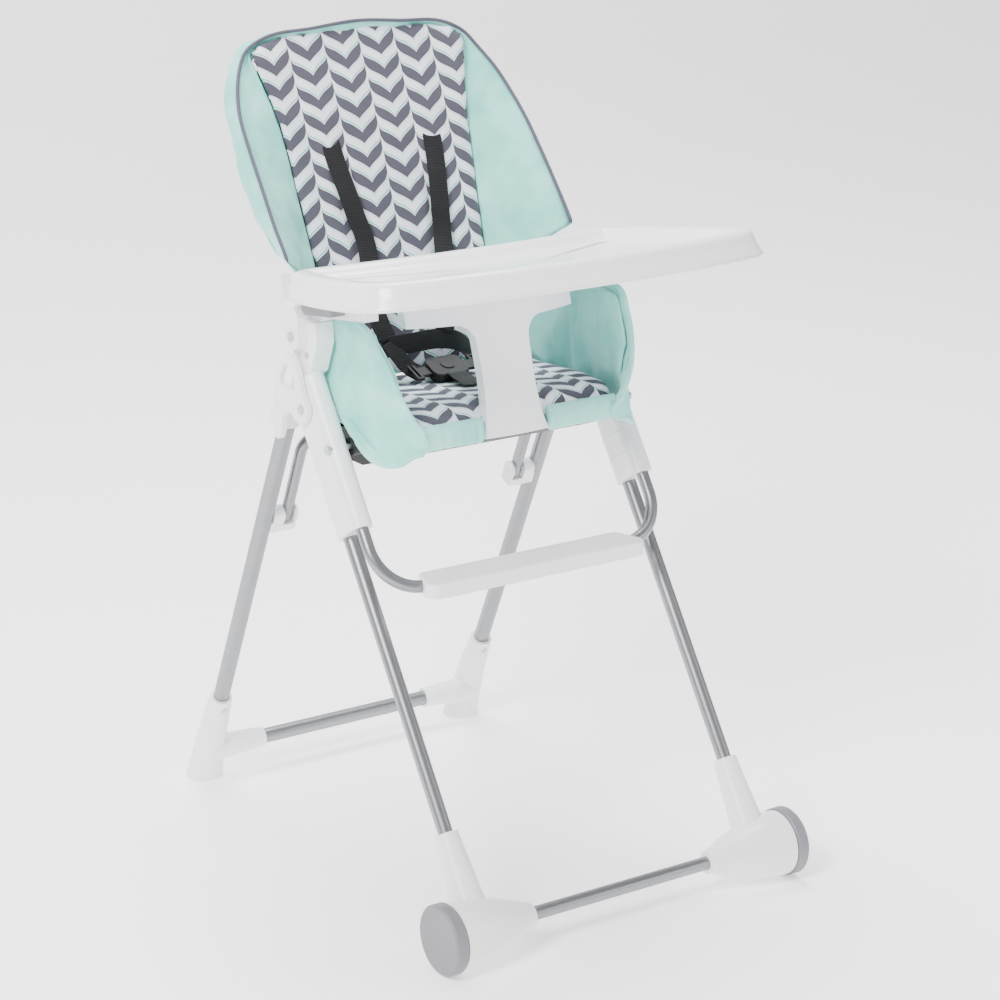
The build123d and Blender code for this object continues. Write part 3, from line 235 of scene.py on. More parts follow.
class Nodes:
    """A material's nodes: add() makes one, sets its inputs by name or number, and links sockets."""

    def __init__(self, name):
        self.mat = bpy.data.materials.new(name)
        self.mat.use_nodes = True
        self.tree = self.mat.node_tree
        self.tree.nodes.clear()
        self.bsdf = self.add("ShaderNodeBsdfPrincipled")
        self.add("ShaderNodeOutputMaterial", {"Surface": self.bsdf.outputs[0]})
        self.where = self.add("ShaderNodeTexCoord").outputs["Object"]

    def add(self, kind, inputs=None, **props):
        n = self.tree.nodes.new(kind)
        for k, v in props.items():
            setattr(n, k, v)
        for k, v in (inputs or {}).items():
            if isinstance(v, bpy.types.NodeSocket):
                self.tree.links.new(v, n.inputs[k])
            else:
                n.inputs[k].default_value = v
        return n

    def math(self, op, a, b=0.0):
        return self.add("ShaderNodeMath", {0: a, 1: b}, operation=op).outputs[0]

    def mix(self, t, a, b):
        n = self.add("ShaderNodeMix", {0: t, 6: a, 7: b}, data_type="RGBA")
        return n.outputs[2]

    def ramp(self, t, low, high):
        """0 below low, 1 above high, smooth between."""
        values = {0: t, 1: low, 2: high, 3: 0.0, 4: 1.0}
        return self.add("ShaderNodeMapRange", values, interpolation_type="SMOOTHSTEP").outputs[0]

    def noise(self, scale_mm, detail=2.0, rough=0.5):
        """Noise with features of about scale_mm."""
        values = {"Vector": self.where, "Scale": 1000.0 / scale_mm, "Detail": detail, "Roughness": rough}
        return self.add("ShaderNodeTexNoise", values).outputs["Fac"]

    def dot(self, direction):
        """The place on the object, in metres, along a direction."""
        values = {0: self.where, 1: tuple(direction)}
        return self.add("ShaderNodeVectorMath", values, operation="DOT_PRODUCT").outputs["Value"]

    def wave(self, coordinate, period_mm):
        """A sine along a coordinate in metres, from -1 to 1."""
        return self.math("SINE", self.math("MULTIPLY", coordinate, 2 * math.pi * 1000 / period_mm))

    def bump(self, height, strength, distance_mm, normal=None):
        values = {"Height": height, "Strength": strength, "Distance": distance_mm * MM}
        if normal is not None:
            values["Normal"] = normal
        return self.add("ShaderNodeBump", values).outputs[0]

    def surface(self, **values):
        names = {"base": "Base Color", "rough": "Roughness", "metal": "Metallic", "normal": "Normal",
                 "sheen": "Sheen Weight", "sheen_rough": "Sheen Roughness", "coat": "Coat Weight",
                 "spec": "Specular IOR Level"}
        for k, v in values.items():
            socket = self.bsdf.inputs[names[k]]
            if isinstance(v, bpy.types.NodeSocket):
                self.tree.links.new(v, socket)
            else:
                socket.default_value = v
        return self.mat


# ---------------------------------------------------------------- materials
def moulded_plastic(name, colour, rough=0.3, grain=0.02, coat=0.0):
    """Injection-moulded polypropylene: slight mottling of the gloss and a very fine orange peel."""
    n = Nodes(name)
    tone = n.noise(38.0, 3.0)
    base = n.mix(n.ramp(tone, 0.3, 0.7), srgb(colour), tuple(c * 0.975 for c in srgb(colour)[:3]) + (1.0,))
    gloss = n.math("ADD", rough, n.math("MULTIPLY", n.math("SUBTRACT", n.noise(6.0, 2.0), 0.5), 0.10))
    peel = n.bump(n.noise(1.6, 2.0), grain * 6, 0.02, n.bump(n.noise(24.0, 1.0), 0.12, 0.25))
    return n.surface(base=base, rough=gloss, normal=peel, coat=coat, spec=0.5)


def tube_paint():
    """Silver powder coat on steel tube: fine metallic flake with an uneven satin gloss."""
    n = Nodes("silver_satin_tube")
    flake = n.noise(0.5, 2.0)
    base = n.mix(n.ramp(flake, 0.35, 0.65), srgb("7C7D81"), srgb("96979B"))
    rough = n.math("ADD", 0.30, n.math("MULTIPLY", n.noise(9.0, 2.0), 0.12))
    return n.surface(base=base, rough=rough, metal=0.85, normal=n.bump(flake, 0.10, 0.03))


def bright_zinc():
    """Zinc-plated screw and bolt heads with a fine uneven grain."""
    n = Nodes("bright_zinc")
    rough = n.math("ADD", 0.2, n.math("MULTIPLY", n.noise(1.2, 3.0), 0.2))
    return n.surface(base=n.mix(n.noise(3.0), srgb("A9A9AD"), srgb("D8D8DA")), rough=rough, metal=1.0,
                     normal=n.bump(n.noise(0.8, 2.0), 0.15, 0.03))


def mint_cloth(name="mint_cloth", light="93E0D5", deep="70CDC0", creases=0.5):
    """Coated polyester in mint: fine plain weave, soft creases and a slight satin sheen."""
    n = Nodes(name)
    u = n.dot((0.80, 0.36, 0.48))
    v = n.dot((-0.48, 0.80, 0.36))
    w = n.dot((0.36, -0.48, 0.80))
    tone = n.ramp(n.noise(55.0, 3.0), 0.30, 0.70)
    base = n.mix(tone, srgb(light), srgb(deep))
    thread = n.math("MULTIPLY", n.math("ADD", n.wave(u, 0.8), n.wave(w, 0.8)), 0.5)
    base = n.mix(n.math("MULTIPLY", n.ramp(thread, -0.6, 1.0), 0.12), base, srgb("E6F6F3"))
    soft = n.bump(n.noise(26.0, 3.0, rough=0.55), creases, 2.2)
    fine = n.bump(n.math("ADD", n.math("MULTIPLY", n.wave(u, 0.8), n.wave(w, 0.8)),
                         n.math("MULTIPLY", n.wave(v, 0.9), 0.4)), 0.22, 0.05, soft)
    rough = n.math("ADD", 0.55, n.math("MULTIPLY", n.noise(14.0, 2.0), 0.14))
    return n.surface(base=base, rough=rough, normal=fine, sheen=0.25, sheen_rough=0.4, spec=0.35)


def leaf_print(name, across, along, shift=0.0, column=54.0, period=33.0):
    """Printed cotton: columns of leaf-shaped chevrons, slate and lilac-white with thin aqua lines.

    In each column the leaves hang in a curved V: at s, the share of half a column, a leaf's lower edge is
    g = 0.56 s^0.82 + 0.24 s^9 of a period above its tip.
    """
    n = Nodes(name)
    col = n.math("ADD", n.math("MULTIPLY", across(n), 1000.0 / column), 100.0 + shift)
    cell = n.math("FLOOR", col)
    s = n.math("ABSOLUTE", n.math("SUBTRACT", n.math("MULTIPLY", n.math("FRACT", col), 2.0), 1.0))
    odd = n.math("MULTIPLY", n.math("MODULO", cell, 2.0), 0.46)
    g = n.math("ADD", n.math("MULTIPLY", n.math("POWER", s, 0.82), 0.56),
               n.math("MULTIPLY", n.math("POWER", s, 9.0), 0.24))
    wob = n.math("MULTIPLY", n.math("SUBTRACT", n.noise(30.0, 1.0), 0.5), 0.05)
    t = n.math("ADD", n.math("SUBTRACT", n.math("MULTIPLY", along(n), 1000.0 / period), g),
               n.math("ADD", odd, n.math("ADD", wob, 50.0)))
    f = n.math("FRACT", t)
    hump = n.math("SINE", n.math("MULTIPLY", s, math.pi))
    wide = n.math("ADD", n.math("SUBTRACT", 0.45, n.math("MULTIPLY", n.math("POWER", s, 9.0), 0.08)),
                  n.math("MULTIPLY", hump, 0.05))
    edge = 0.012

    def band(low, high):
        a = n.ramp(n.math("SUBTRACT", f, low), -edge, edge)
        b = n.ramp(n.math("SUBTRACT", high, f), -edge, edge)
        return n.math("MULTIPLY", a, b)

    slate = band(0.03, n.math("ADD", wide, 0.03))
    line_low = n.math("ADD", wide, 0.075)
    aqua = n.math("ADD", band(line_low, n.math("ADD", line_low, 0.065)),
                  n.math("MULTIPLY", band(0.955, 0.998), 0.55))
    ground = n.mix(n.ramp(n.noise(40.0, 2.0), 0.3, 0.7), srgb("ECECF5"), srgb("E2E3EF"))
    base = n.mix(aqua, ground, srgb("55C2B4"))
    base = n.mix(slate, base, n.mix(n.noise(0.9, 2.0), srgb("3F3E4B"), srgb("55545F")))
    u, v = along(n), across(n)
    thread = n.math("MULTIPLY", n.wave(u, 0.7), n.wave(v, 0.7))
    soft = n.bump(n.noise(22.0, 3.0), 0.35, 1.8)
    fine = n.bump(n.math("ADD", thread, n.noise(0.8, 1.0)), 0.25, 0.06, soft)
    return n.surface(base=base, rough=0.82, normal=fine, sheen=0.12, sheen_rough=0.5, spec=0.25)


def webbing():
    """Black polypropylene webbing, ribbed across about every 2 mm."""
    n = Nodes("black_webbing")
    along = n.dot((0.10, 0.45, 0.885))
    rib = n.wave(along, 2.1)
    thread = n.noise(0.5, 2.0)
    base = n.mix(n.ramp(rib, -0.8, 0.9), srgb("060607"), srgb("19191C"))
    bump = n.bump(n.math("ADD", rib, n.math("MULTIPLY", thread, 0.8)), 0.6, 0.25)
    return n.surface(base=base, rough=0.72, normal=bump, sheen=0.1, sheen_rough=0.4, spec=0.3)


def corded(name, colour, pitch=1.6):
    """Piping or thread: a fine twist along the cord."""
    n = Nodes(name)
    twist = n.wave(n.dot((0.7, 0.4, 0.6)), pitch)
    base = n.mix(n.ramp(twist, -1.0, 1.0), srgb(colour), tuple(c * 1.5 for c in srgb(colour)[:3]) + (1.0,))
    return n.surface(base=base, rough=0.7, normal=n.bump(twist, 0.4, 0.15), spec=0.3)


def across_chair(n):
    """The print's columns lie side by side along X."""
    return n.dot((1, 0, 0))


def up_back(n):
    """Up the back panel."""
    return n.dot(tuple(BACK_UP))


def along_seat(n):
    """To the rear on the seat pad, and down over its front."""
    return n.math("ADD", n.dot((0, 0.96, 0)), n.dot((0, 0, 0.5)))


WHITE = moulded_plastic("white_moulding", "F3F3F6", 0.30)
TRAY_WHITE = moulded_plastic("white_tray_moulding", "F4F4F7", 0.22, 0.012, 0.2)
LATCH_GREY = moulded_plastic("grey_latch_moulding", "7E7E84", 0.42)
WHEEL_GREY = moulded_plastic("grey_wheel_moulding", "77777D", 0.48, 0.05)
BLACK = moulded_plastic("black_moulding", "08080A", 0.6)
TUBE = tube_paint()
ZINC = bright_zinc()
MINT = mint_cloth()
MINT_DEEP = mint_cloth("mint_binding", "9DE4DA", "7CD2C6", 0.6)
BACK_PRINT = leaf_print("leaf_print_back", across_chair, up_back)
SEAT_PRINT = leaf_print("leaf_print_seat", across_chair, along_seat, 0.5)
WEB = webbing()
PIPING = corded("slate_piping", "4C4B58")
SEAM = corded("aqua_seam_thread", "6FB9B0", 1.1)


def paint(ob, material):
    """One material on the whole object."""
    ob.data.materials.clear()
    ob.data.materials.append(material)
    return ob


def place(ob, material, body, replaces=()):
    """Material, body and the CAD nodes it stands for, which are hidden."""
    paint(ob, material)
    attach(ob, body)
    if replaces:
        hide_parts(*replaces)
    return ob


LOOKS = {  # material slot to finish
    "white_plastic": WHITE, "grey_plastic": LATCH_GREY, "wheel_plastic": WHEEL_GREY, "black_plastic": BLACK,
    "silver_tube": TUBE, "zinc_fastener": ZINC, "mint_fabric": MINT, "printed_fabric": BACK_PRINT,
    "black_webbing": WEB, "back_board": BLACK, "slate_piping": PIPING,
}
for part in frame["record"]["subparts"]:
    paint(frame["nodes"][part["node"]], LOOKS[part["material_slot"]])


# ---------------------------------------------------------------- padded pieces by cloth simulation
PRESSURE = 4.0
VOXEL = 5.0


def puff(ob, seams, cap):
    """Voxel remesh, then cloth under inner pressure with the seam vertices held; moves are capped, in mm."""
    bpy.context.view_layer.objects.active = ob
    ob.select_set(True)
    mod = ob.modifiers.new("remesh", "REMESH")
    mod.mode, mod.voxel_size, mod.use_smooth_shade = "VOXEL", VOXEL * MM, True
    bpy.ops.object.modifier_apply(modifier=mod.name)
    me = ob.data
    rest = np.empty(len(me.vertices) * 3)
    me.vertices.foreach_get("co", rest)
    rest = rest.reshape(-1, 3)
    held = np.clip(seams(rest / MM), 0, 1)
    group = ob.vertex_groups.new(name="held")
    for i, w in enumerate(held):
        if w > 0.01:
            group.add([i], float(w), "REPLACE")
    cloth = ob.modifiers.new("cloth", "CLOTH")
    s = cloth.settings
    s.use_pressure, s.uniform_pressure_force = True, PRESSURE
    s.effector_weights.gravity = 0.0
    s.vertex_group_mass = "held"
    s.quality, s.mass = 5, 0.25
    s.tension_stiffness = s.compression_stiffness = 12.0
    s.shear_stiffness, s.bending_stiffness = 6.0, 0.4
    cloth.point_cache.frame_start, cloth.point_cache.frame_end = 1, 20
    for f in range(1, 21):
        bpy.context.scene.frame_set(f)
    shape = ob.evaluated_get(bpy.context.evaluated_depsgraph_get()).to_mesh()
    moved = np.empty(len(shape.vertices) * 3)
    shape.vertices.foreach_get("co", moved)
    moved = moved.reshape(-1, 3) - rest
    ob.modifiers.remove(cloth)
    size = np.linalg.norm(moved, axis=1, keepdims=True)
    moved *= np.minimum(1, cap * MM / np.maximum(size, 1e-9))
    me.vertices.foreach_set("co", (rest + moved).ravel())
    ob.vertex_groups.clear()
    bpy.context.scene.frame_set(1)
    sub = ob.modifiers.new("subdivide", "SUBSURF")
    sub.levels = sub.render_levels = 1
    bpy.ops.object.modifier_apply(modifier=sub.name)
    ob.data.polygons.foreach_set("use_smooth", [True] * len(ob.data.polygons))
    ob.select_set(False)
    return ob


# ---------------------------------------------------------------- back panel
RIM = [(215, -1, 83), (215, 18, 78), (215, 47, 69), (213, 100, 54), (210, 155, 37), (205, 197, 22),
       (196, 232, 12), (181, 265, 3), (165, 288, 1), (141, 301, 3), (113, 307, 5), (71, 308, 9), (0, 313, 10)]
CHANNEL = 54.0                # between sewn channels
PANEL_LOW = -150              # the panel's foot, down at the bight


def both_sides(half):
    """A line given from one side to the middle, carried on to the other side."""
    return half + [(-x, u, v) for x, u, v in reversed(half[:-1])]


RIM_LINE = smooth(both_sides(RIM), 161)


def top_of(x):
    """Height of the panel's top edge, along the piping, at x."""
    return np.interp(np.abs(x), [0, 71, 113, 141, 165, 181], [311, 306.5, 305, 299, 286, 263])


def half_of(u):
    """Half width of the panel at height u."""
    return np.interp(u, [-150, 0, 100, 184, 240, 290], [129, 130, 137, 143, 153, 163])


def back_panel():
    """Printed panel: columns u from the bight to the piping, rows x, its face crowned between sewn channels."""
    n, m = 91, 111
    i = np.linspace(-1, 1, n)[:, None]
    j = np.linspace(0, 1, m)[None, :]
    u0 = PANEL_LOW + 450 * j
    x = i * half_of(u0)
    u = PANEL_LOW + (top_of(x) - PANEL_LOW) * j
    v = np.interp(u, [PANEL_LOW, 0, 184, 290, 312], [-6, -3, 4, 1.5, 3]) + 0 * x
    v = v + 6 * step(0.75, 1.0, np.abs(i)) * step(60, 240, u) * 0.6
    mid = on_back(x, u, v)
    seam = np.abs((x / CHANNEL + 0.5) % 1 - 0.5) * CHANNEL
    quilt = 1 - np.exp(-(seam / 6.0) ** 2)
    fall = edge_fall(n, m, (0.07, 0.05))
    front = 7.5 * fall * (0.62 + 0.38 * quilt) + 0.5 * ripple(mid, 46, 3) * fall
    return pillow("back_panel", mid, front, 6.0 * fall)


def channel_seams(p):
    """1 on the sewn channels, the panel's back and its borders, 0 on its free face."""
    q = p - BACK_FOOT
    u, v = q @ BACK_UP, q @ BACK_FORE
    seam = np.abs((p[:, 0] / CHANNEL + 0.5) % 1 - 0.5) * CHANNEL
    on = np.exp(-(seam / 2.6) ** 2)
    border = np.maximum(step(-10, -4, np.abs(p[:, 0]) - half_of(u)), step(-10, -4, u - top_of(p[:, 0])))
    rear = step(1.0, -2.0, v)
    return np.maximum(np.maximum(on * 0.9, border), rear)


panel = puff(back_panel(), channel_seams, 4.0)
place(panel, BACK_PRINT, "backrest", ["back_pad", "back_board", "back_hoop"])


# ---------------------------------------------------------------- back cover
def cover_sides():
    """The wing all round: from the panel's edge out to the piping, over it and down the outer side to the rear.

    The section is a closed ring of three runs between matching points of the panel's outline, rim and rear.
    """
    count = 141
    rim = smooth(both_sides(RIM), count)
    low = [(131, -44, -4), (131, 0, -2), (137, 100, 2), (143, 184, 5), (153, 240, 3), (163, 284, 0)]
    low += [(141, 294, 1), (113, 299, 2), (71, 300, 3), (0, 303, 4)]
    inner = smooth(both_sides(low), count)
    far = [(180, 58, -22), (186, 120, -30), (187, 180, -34), (183, 236, -34), (164, 268, -33), (128, 291, -32)]
    far += [(70, 300, -32), (0, 304, -32)]
    outer = smooth(both_sides(far), count)
    a = np.linspace(0, 1, count)
    side = np.minimum(a, 1 - a) * 2
    bulge_out = 13 * step(0.0, 0.12, side) * step(1.0, 0.60, side) + 2.5
    b = np.linspace(0, 1, 15)[:, None, None]
    scoop = inner[None] + (rim - inner)[None] * b
    scoop = scoop + np.stack([-np.sign(inner[:, 0]) * 5, 0 * a, -3 + 0 * a], 1)[None] * np.sin(math.pi * b) \
        * step(1.0, 0.7, side)[None, :, None]
    away = rim - np.array([0, 120, 0])
    away[:, 2] = -20
    away /= np.linalg.norm(away, axis=1, keepdims=True)
    c = np.linspace(0, 1, 17)[1:-1, None, None]
    skin = rim[None] + (outer - rim)[None] * c
    skin = skin + away[None] * np.sin(math.pi * c ** 0.8) * bulge_out[None, :, None]
    hidden = np.stack([outer * (1 - t) + (inner + np.array([0, 0, -12])) * t for t in (0.0, 0.5, 1.0)])
    ring = np.concatenate([scoop, skin, hidden], 0).transpose(1, 0, 2)
    pts = on_back(ring[..., 0], ring[..., 1], ring[..., 2])
    fold = ripple(pts, 70, 11) * 1.3 + ripple(pts * [1, 1, 0.35], 30, 12) * 0.6
    k = ring.shape[1]
    soft = np.ones(k)
    soft[[0, 13, 14, 15, -1, -2, -3]] = 0.15
    n = normals(pts)
    pts = pts + n * (fold * soft)[..., None]
    verts = pts.reshape(-1, 3)
    return mesh_object("back_cover_wings", verts, grid_faces(count, k, wrap_m=True) + end_caps(count, k))


place(cover_sides(), MINT, "backrest", ["back_cover"])


def cover_rear():
    """The cover's rear: a shallow crowned sheet over the board, from the panel's foot to the top seam."""
    n, m = 61, 61
    i = np.linspace(-1, 1, n)[:, None]
    j = np.linspace(0, 1, m)[None, :]
    half = np.interp(PANEL_LOW + 454 * j, [PANEL_LOW, 0, 50, 120, 180, 236, 268, 291, 304],
                     [131, 140, 172, 184, 185, 181, 166, 140, 96])
    x = i * half
    top = np.interp(np.abs(x), [0, 70, 128, 164, 181], [303, 299, 290, 268, 236])
    u = PANEL_LOW + (top - PANEL_LOW) * j
    v = np.interp(u, [PANEL_LOW, 0, 58], [-15, -18, -27.5])
    mid = on_back(x, u, v)
    fall = edge_fall(n, m, 0.12)
    return pillow("back_cover_rear", mid, 1.5 * fall, (6.0 + 0.8 * ripple(mid, 90, 21)) * fall)


place(cover_rear(), MINT, "backrest", ())
rim_x = RIM_LINE[:, 0] + np.sign(RIM_LINE[:, 0]) * 0.8
rim_pts = on_back(rim_x, RIM_LINE[:, 1] + 0.8, RIM_LINE[:, 2] + 1.0)
place(tube_along("back_rim_piping", rim_pts, 2.3, 12), PIPING, "backrest", ["back_piping"])


# ---------------------------------------------------------------- seat cushion, hems and wings
def seat_pad():
    """Printed seat pad: flat behind, rounding down at the front like a waterfall; rows run across."""
    n, m = 85, 75
    i = np.linspace(-1, 1, n)[:, None]
    j = np.linspace(0, 1, m)[None, :]
    profile = [(-68, 16), (-69, 28), (-62, 39), (-46, 44), (-20, 44), (30, 41), (80, 38), (122, 38), (142, 40)]
    path = smooth(profile, m)
    x = i * np.interp(j, [0, 0.2, 0.45, 1], [150, 164, 172, 168])
    dy = path[:, 0][None, :] + 0 * x + 4 * i ** 2 * (1 - j)
    behind_post = step(66, 50, np.abs(x)) * step(0.32, 0.0, j)
    dy = dy + 13 * behind_post
    dz = path[:, 1][None, :] - 9 + 3 * np.cos(i * math.pi / 2)
    mid = at_seat(x, dy, dz)
    fall = edge_fall(n, m, (0.08, 0.07))
    seam = np.abs((x / CHANNEL) % 1 - 0.5) * CHANNEL
    quilt = 1 - np.exp(-(seam / 6.0) ** 2)
    front = 6.5 * fall * (0.7 + 0.3 * quilt) + 0.8 * ripple(mid, 50, 5) * fall
    return pillow("seat_pad", mid, front, 12 * fall)


def seat_seams(p):
    """1 on the sewn channels and on the pad's underside, 0 on its free face."""
    seam = np.abs((p[:, 0] / CHANNEL) % 1 - 0.5) * CHANNEL
    under = step(20, 14, p[:, 2] - SEAT[2]) * step(-50, -35, p[:, 1] - SEAT[1])
    return np.maximum(np.exp(-(seam / 2.6) ** 2) * 0.85, under)


pad = puff(seat_pad(), seat_seams, 5.0)
place(pad, SEAT_PRINT, "seat", ["seat_cushion"])

WING = [  # along the wing: |x|, dy, lower edge dz, upper edge dz
    (186, 98, 112, 137), (189, 76, 84, 149), (191, 40, 46, 157), (191, 7, 16, 160), (190.5, -20, -2, 160),
    (189, -38, -10, 153), (186, -52, -13, 132), (181, -67, -13, 111), (172, -82, -8, 76), (158, -89, 2, 46),
    (143, -91, 4, 27),
]


def seat_wing(sign):
    """Side of the seat cover: along its line it runs forward and curves in; q goes from hem to top edge."""
    n, m = 101, 61
    line = smooth(WING, n)
    q = np.linspace(0, 1, m)[None, :]
    x = line[:, 0][:, None] + 0 * q
    dz = line[:, 2][:, None] + (line[:, 3] - line[:, 2])[:, None] * q
    dy = line[:, 1][:, None] + 0 * q
    lean = step(40, 150, dz)
    x = x - 7 * np.sin(math.pi * q) * step(0, 0.5, np.linspace(0, 1, n))[:, None] + 2 * lean
    mid = at_seat(sign * x, dy, dz)
    p = np.linspace(0, 1, n)[:, None]
    wrinkle = 1.8 * np.sin(p * 26 + 3 * q) * step(0.75, 1.0, q) + 2.2 * ripple(mid, 75, 31) \
        + 1.5 * np.sin(q * 9 + p * 17) * step(0.55, 0.9, p) * step(0.1, 0.5, q)
    mid = mid + normals(mid) * (wrinkle * edge_fall(n, m, 0.25))[..., None]
    fall = edge_fall(n, m, (0.05, 0.08))
    return pillow("seat_wing_cloth_" + ("left" if sign > 0 else "right"), mid, 5.0 * fall, 4.0 * fall)


def seat_side(sign):
    """Inner side of the seat cover, from the pad up to the wing's top edge and back to the backrest."""
    n, m = 81, 41
    dy = np.linspace(-72, 150, n)[:, None]
    q = np.linspace(0, 1, m)[None, :]
    top = np.interp(dy, [-84, -66, -36, 7, 40, 98, 150], [68, 108, 150, 154, 151, 131, 120])
    dz = 16 + (top - 16) * q
    x = np.interp(dy, [-72, -40, 0, 90, 150], [172, 181, 183, 179, 158]) - 7 * np.sin(math.pi * q)
    mid = at_seat(sign * x, dy + 0 * q, dz)
    fold = 2.6 * np.sin(dy / 9.0 + 2.2 * q) * step(1.0, 0.3, q) * step(-60, 20, dy) + 1.6 * ripple(mid, 60, 41)
    mid = mid + normals(mid) * (fold * edge_fall(n, m, 0.2))[..., None]
    fall = edge_fall(n, m, (0.04, 0.06))
    return pillow("seat_side_" + ("left" if sign > 0 else "right"), mid, 2.5 * fall, 2.5 * fall)


def wing_line(sign, q, inset, lift):
    """Points on the outer face of a wing at share q of its height, lifted off it; inset shortens both ends."""
    line = smooth(WING, 81)
    k = np.linspace(0, 1, 81)
    keep = (k >= inset) & (k <= 1 - inset * 0.4)
    x = line[:, 0] - 7 * np.sin(math.pi * q) * step(0, 0.5, k) + lift
    dz = line[:, 2] + (line[:, 3] - line[:, 2]) * q
    return at_seat(sign * x[keep], line[keep, 1], dz[keep])


for sign, end in ((1, "left"), (-1, "right")):
    place(seat_wing(sign), MINT, "seat", ["seat_wing_" + end])
    place(seat_side(sign), MINT, "seat", ())
    for k, share in enumerate((0.02, 0.985)):
        line = wing_line(sign, share, 0.0, 1.5)
        place(tube_along(f"wing_binding_{k}_{end}", line, 4.2, 10), MINT_DEEP, "seat")
    line = wing_line(sign, 0.13, 0.03, 5.2)
    place(tube_along("wing_seam_" + end, line, 0.9, 6), SEAM, "seat")


def front_hem(sign):
    """Gathered hem below the seat pad beside the post: a soft roll with close radial folds."""
    n, m = 91, 25
    s = np.linspace(0, 1, n)[:, None]
    ang = np.linspace(0, 2 * math.pi, m, endpoint=False)[None, :]
    x = 52 + 96 * s + 0 * ang
    fold = 1 + 0.07 * np.sin(s * 58) * step(0.5, 0.0, s) + 0.05 * np.sin(s * 37 + 1.3)
    cy = -73 - 8 * s ** 2
    cz = 15 + 3 * s
    dy = cy + (9.5 * np.cos(ang) * fold)
    dz = cz + (15.5 * np.sin(ang) * (0.75 + 0.25 * fold)) + 2.5 * np.cos(ang)
    p = at_seat(sign * x, dy, dz)
    name = "front_hem_" + ("left" if sign > 0 else "right")
    return mesh_object(name, p.reshape(-1, 3), grid_faces(n, m, wrap_m=True) + end_caps(n, m))


for sign, end in ((1, "left"), (-1, "right")):
    place(front_hem(sign), MINT_DEEP, "seat", ["seat_skirt_" + end])


# ---------------------------------------------------------------- harness
SLOT_PATH = [(77, 168, 2), (77, 160, 9), (75, 130, 11), (70, 94, 13), (65, 60, 13), (58, 14, 13)]


def shoulder(sign):
    """From the slot down the panel, then forward off it towards the buckle."""
    top = [on_back(sign * x, u, v).tolist() for x, u, v in SLOT_PATH]
    if sign < 0:
        return top + [[-72.0, 112.0, 704.0], [-66.0, 92.0, 664.0]]
    return top + [[34.0, 104.0, 708.0], [14.0, 82.0, 668.0]]


for sign, end in ((1, "left"), (-1, "right")):
    strap = strap_along("shoulder_webbing_" + end, shoulder(sign), 28, 90)
    place(strap, WEB, "backrest", ["shoulder_strap_" + end])

# each seat strap: name, CAD node, width, steps, way its width lies, points
SEAT_STRAPS = (
    ("waist_webbing_left", "waist_strap_left", 26, 70, (0.05, 0.25, 1),
     [[-70, 98, 652], [-61, 88, 657], [-34, 82, 659], [0, 80, 660], [34, 84, 652], [58, 92, 636],
      [74, 100, 622]]),
    ("waist_webbing_right", "waist_strap_right", 24, 48, (1.0, 0, 0),
     [[-66, 90, 662], [-60, 80, 648], [-50, 70, 632], [-36, 63, 622]]),
    ("crotch_webbing", "crotch_strap", 28, 48, (1.0, 0, 0),
     [[-2, -12, 619], [0, 0, 621], [1, 18, 622], [2, 34, 625]]),
)
for name, node, width, steps, across, points in SEAT_STRAPS:
    place(strap_along(name, points, width, steps, across), WEB, "seat", [node])


# ---------------------------------------------------------------- tray
TRAY_HALF = 281
TRAY_DEPTH = 290
TRAY_MIDDLE = np.array([0.0, -140.0])
DISH_FLOOR = -14.0
UNDERSIDE = -17.0
TRAY_EDGE = [  # half of the outline, in shares of those two
    (0, -1.007), (0.40, -0.986), (0.75, -0.915), (0.945, -0.835), (1.0, -0.70), (0.972, -0.37),
    (0.90, -0.05), (0.852, 0.085), (0.735, 0.122), (0.37, 0.052), (0, 0.028),
]
TRAY_SECTION = [  # inward distance and height, from the dish floor over the rim and back beneath
    (54, -14), (44, -14), (38, -13.4), (31, -10), (26, -4.5), (22, -1.2), (17, 0), (11, 0.3), (6, -0.2),
    (2, -2.2), (-0.6, -6.5), (-3.5, -14), (-8, -23), (-11.6, -30), (-12.4, -32.4), (-11.2, -33),
    (-9.8, -32), (-5, -22), (-1.5, -15), (6, -15.5), (20, -16.6), (40, -17), (54, -17),
]


def inward(line):
    """Unit inward normals of a closed plan outline."""
    t = np.roll(line, -1, 0) - np.roll(line, 1, 0)
    n = np.stack([-t[:, 1], t[:, 0]], 1)
    n /= np.linalg.norm(n, axis=1, keepdims=True)
    return n * np.sign(np.sum(n * (line.mean(0) - line), axis=1).mean())


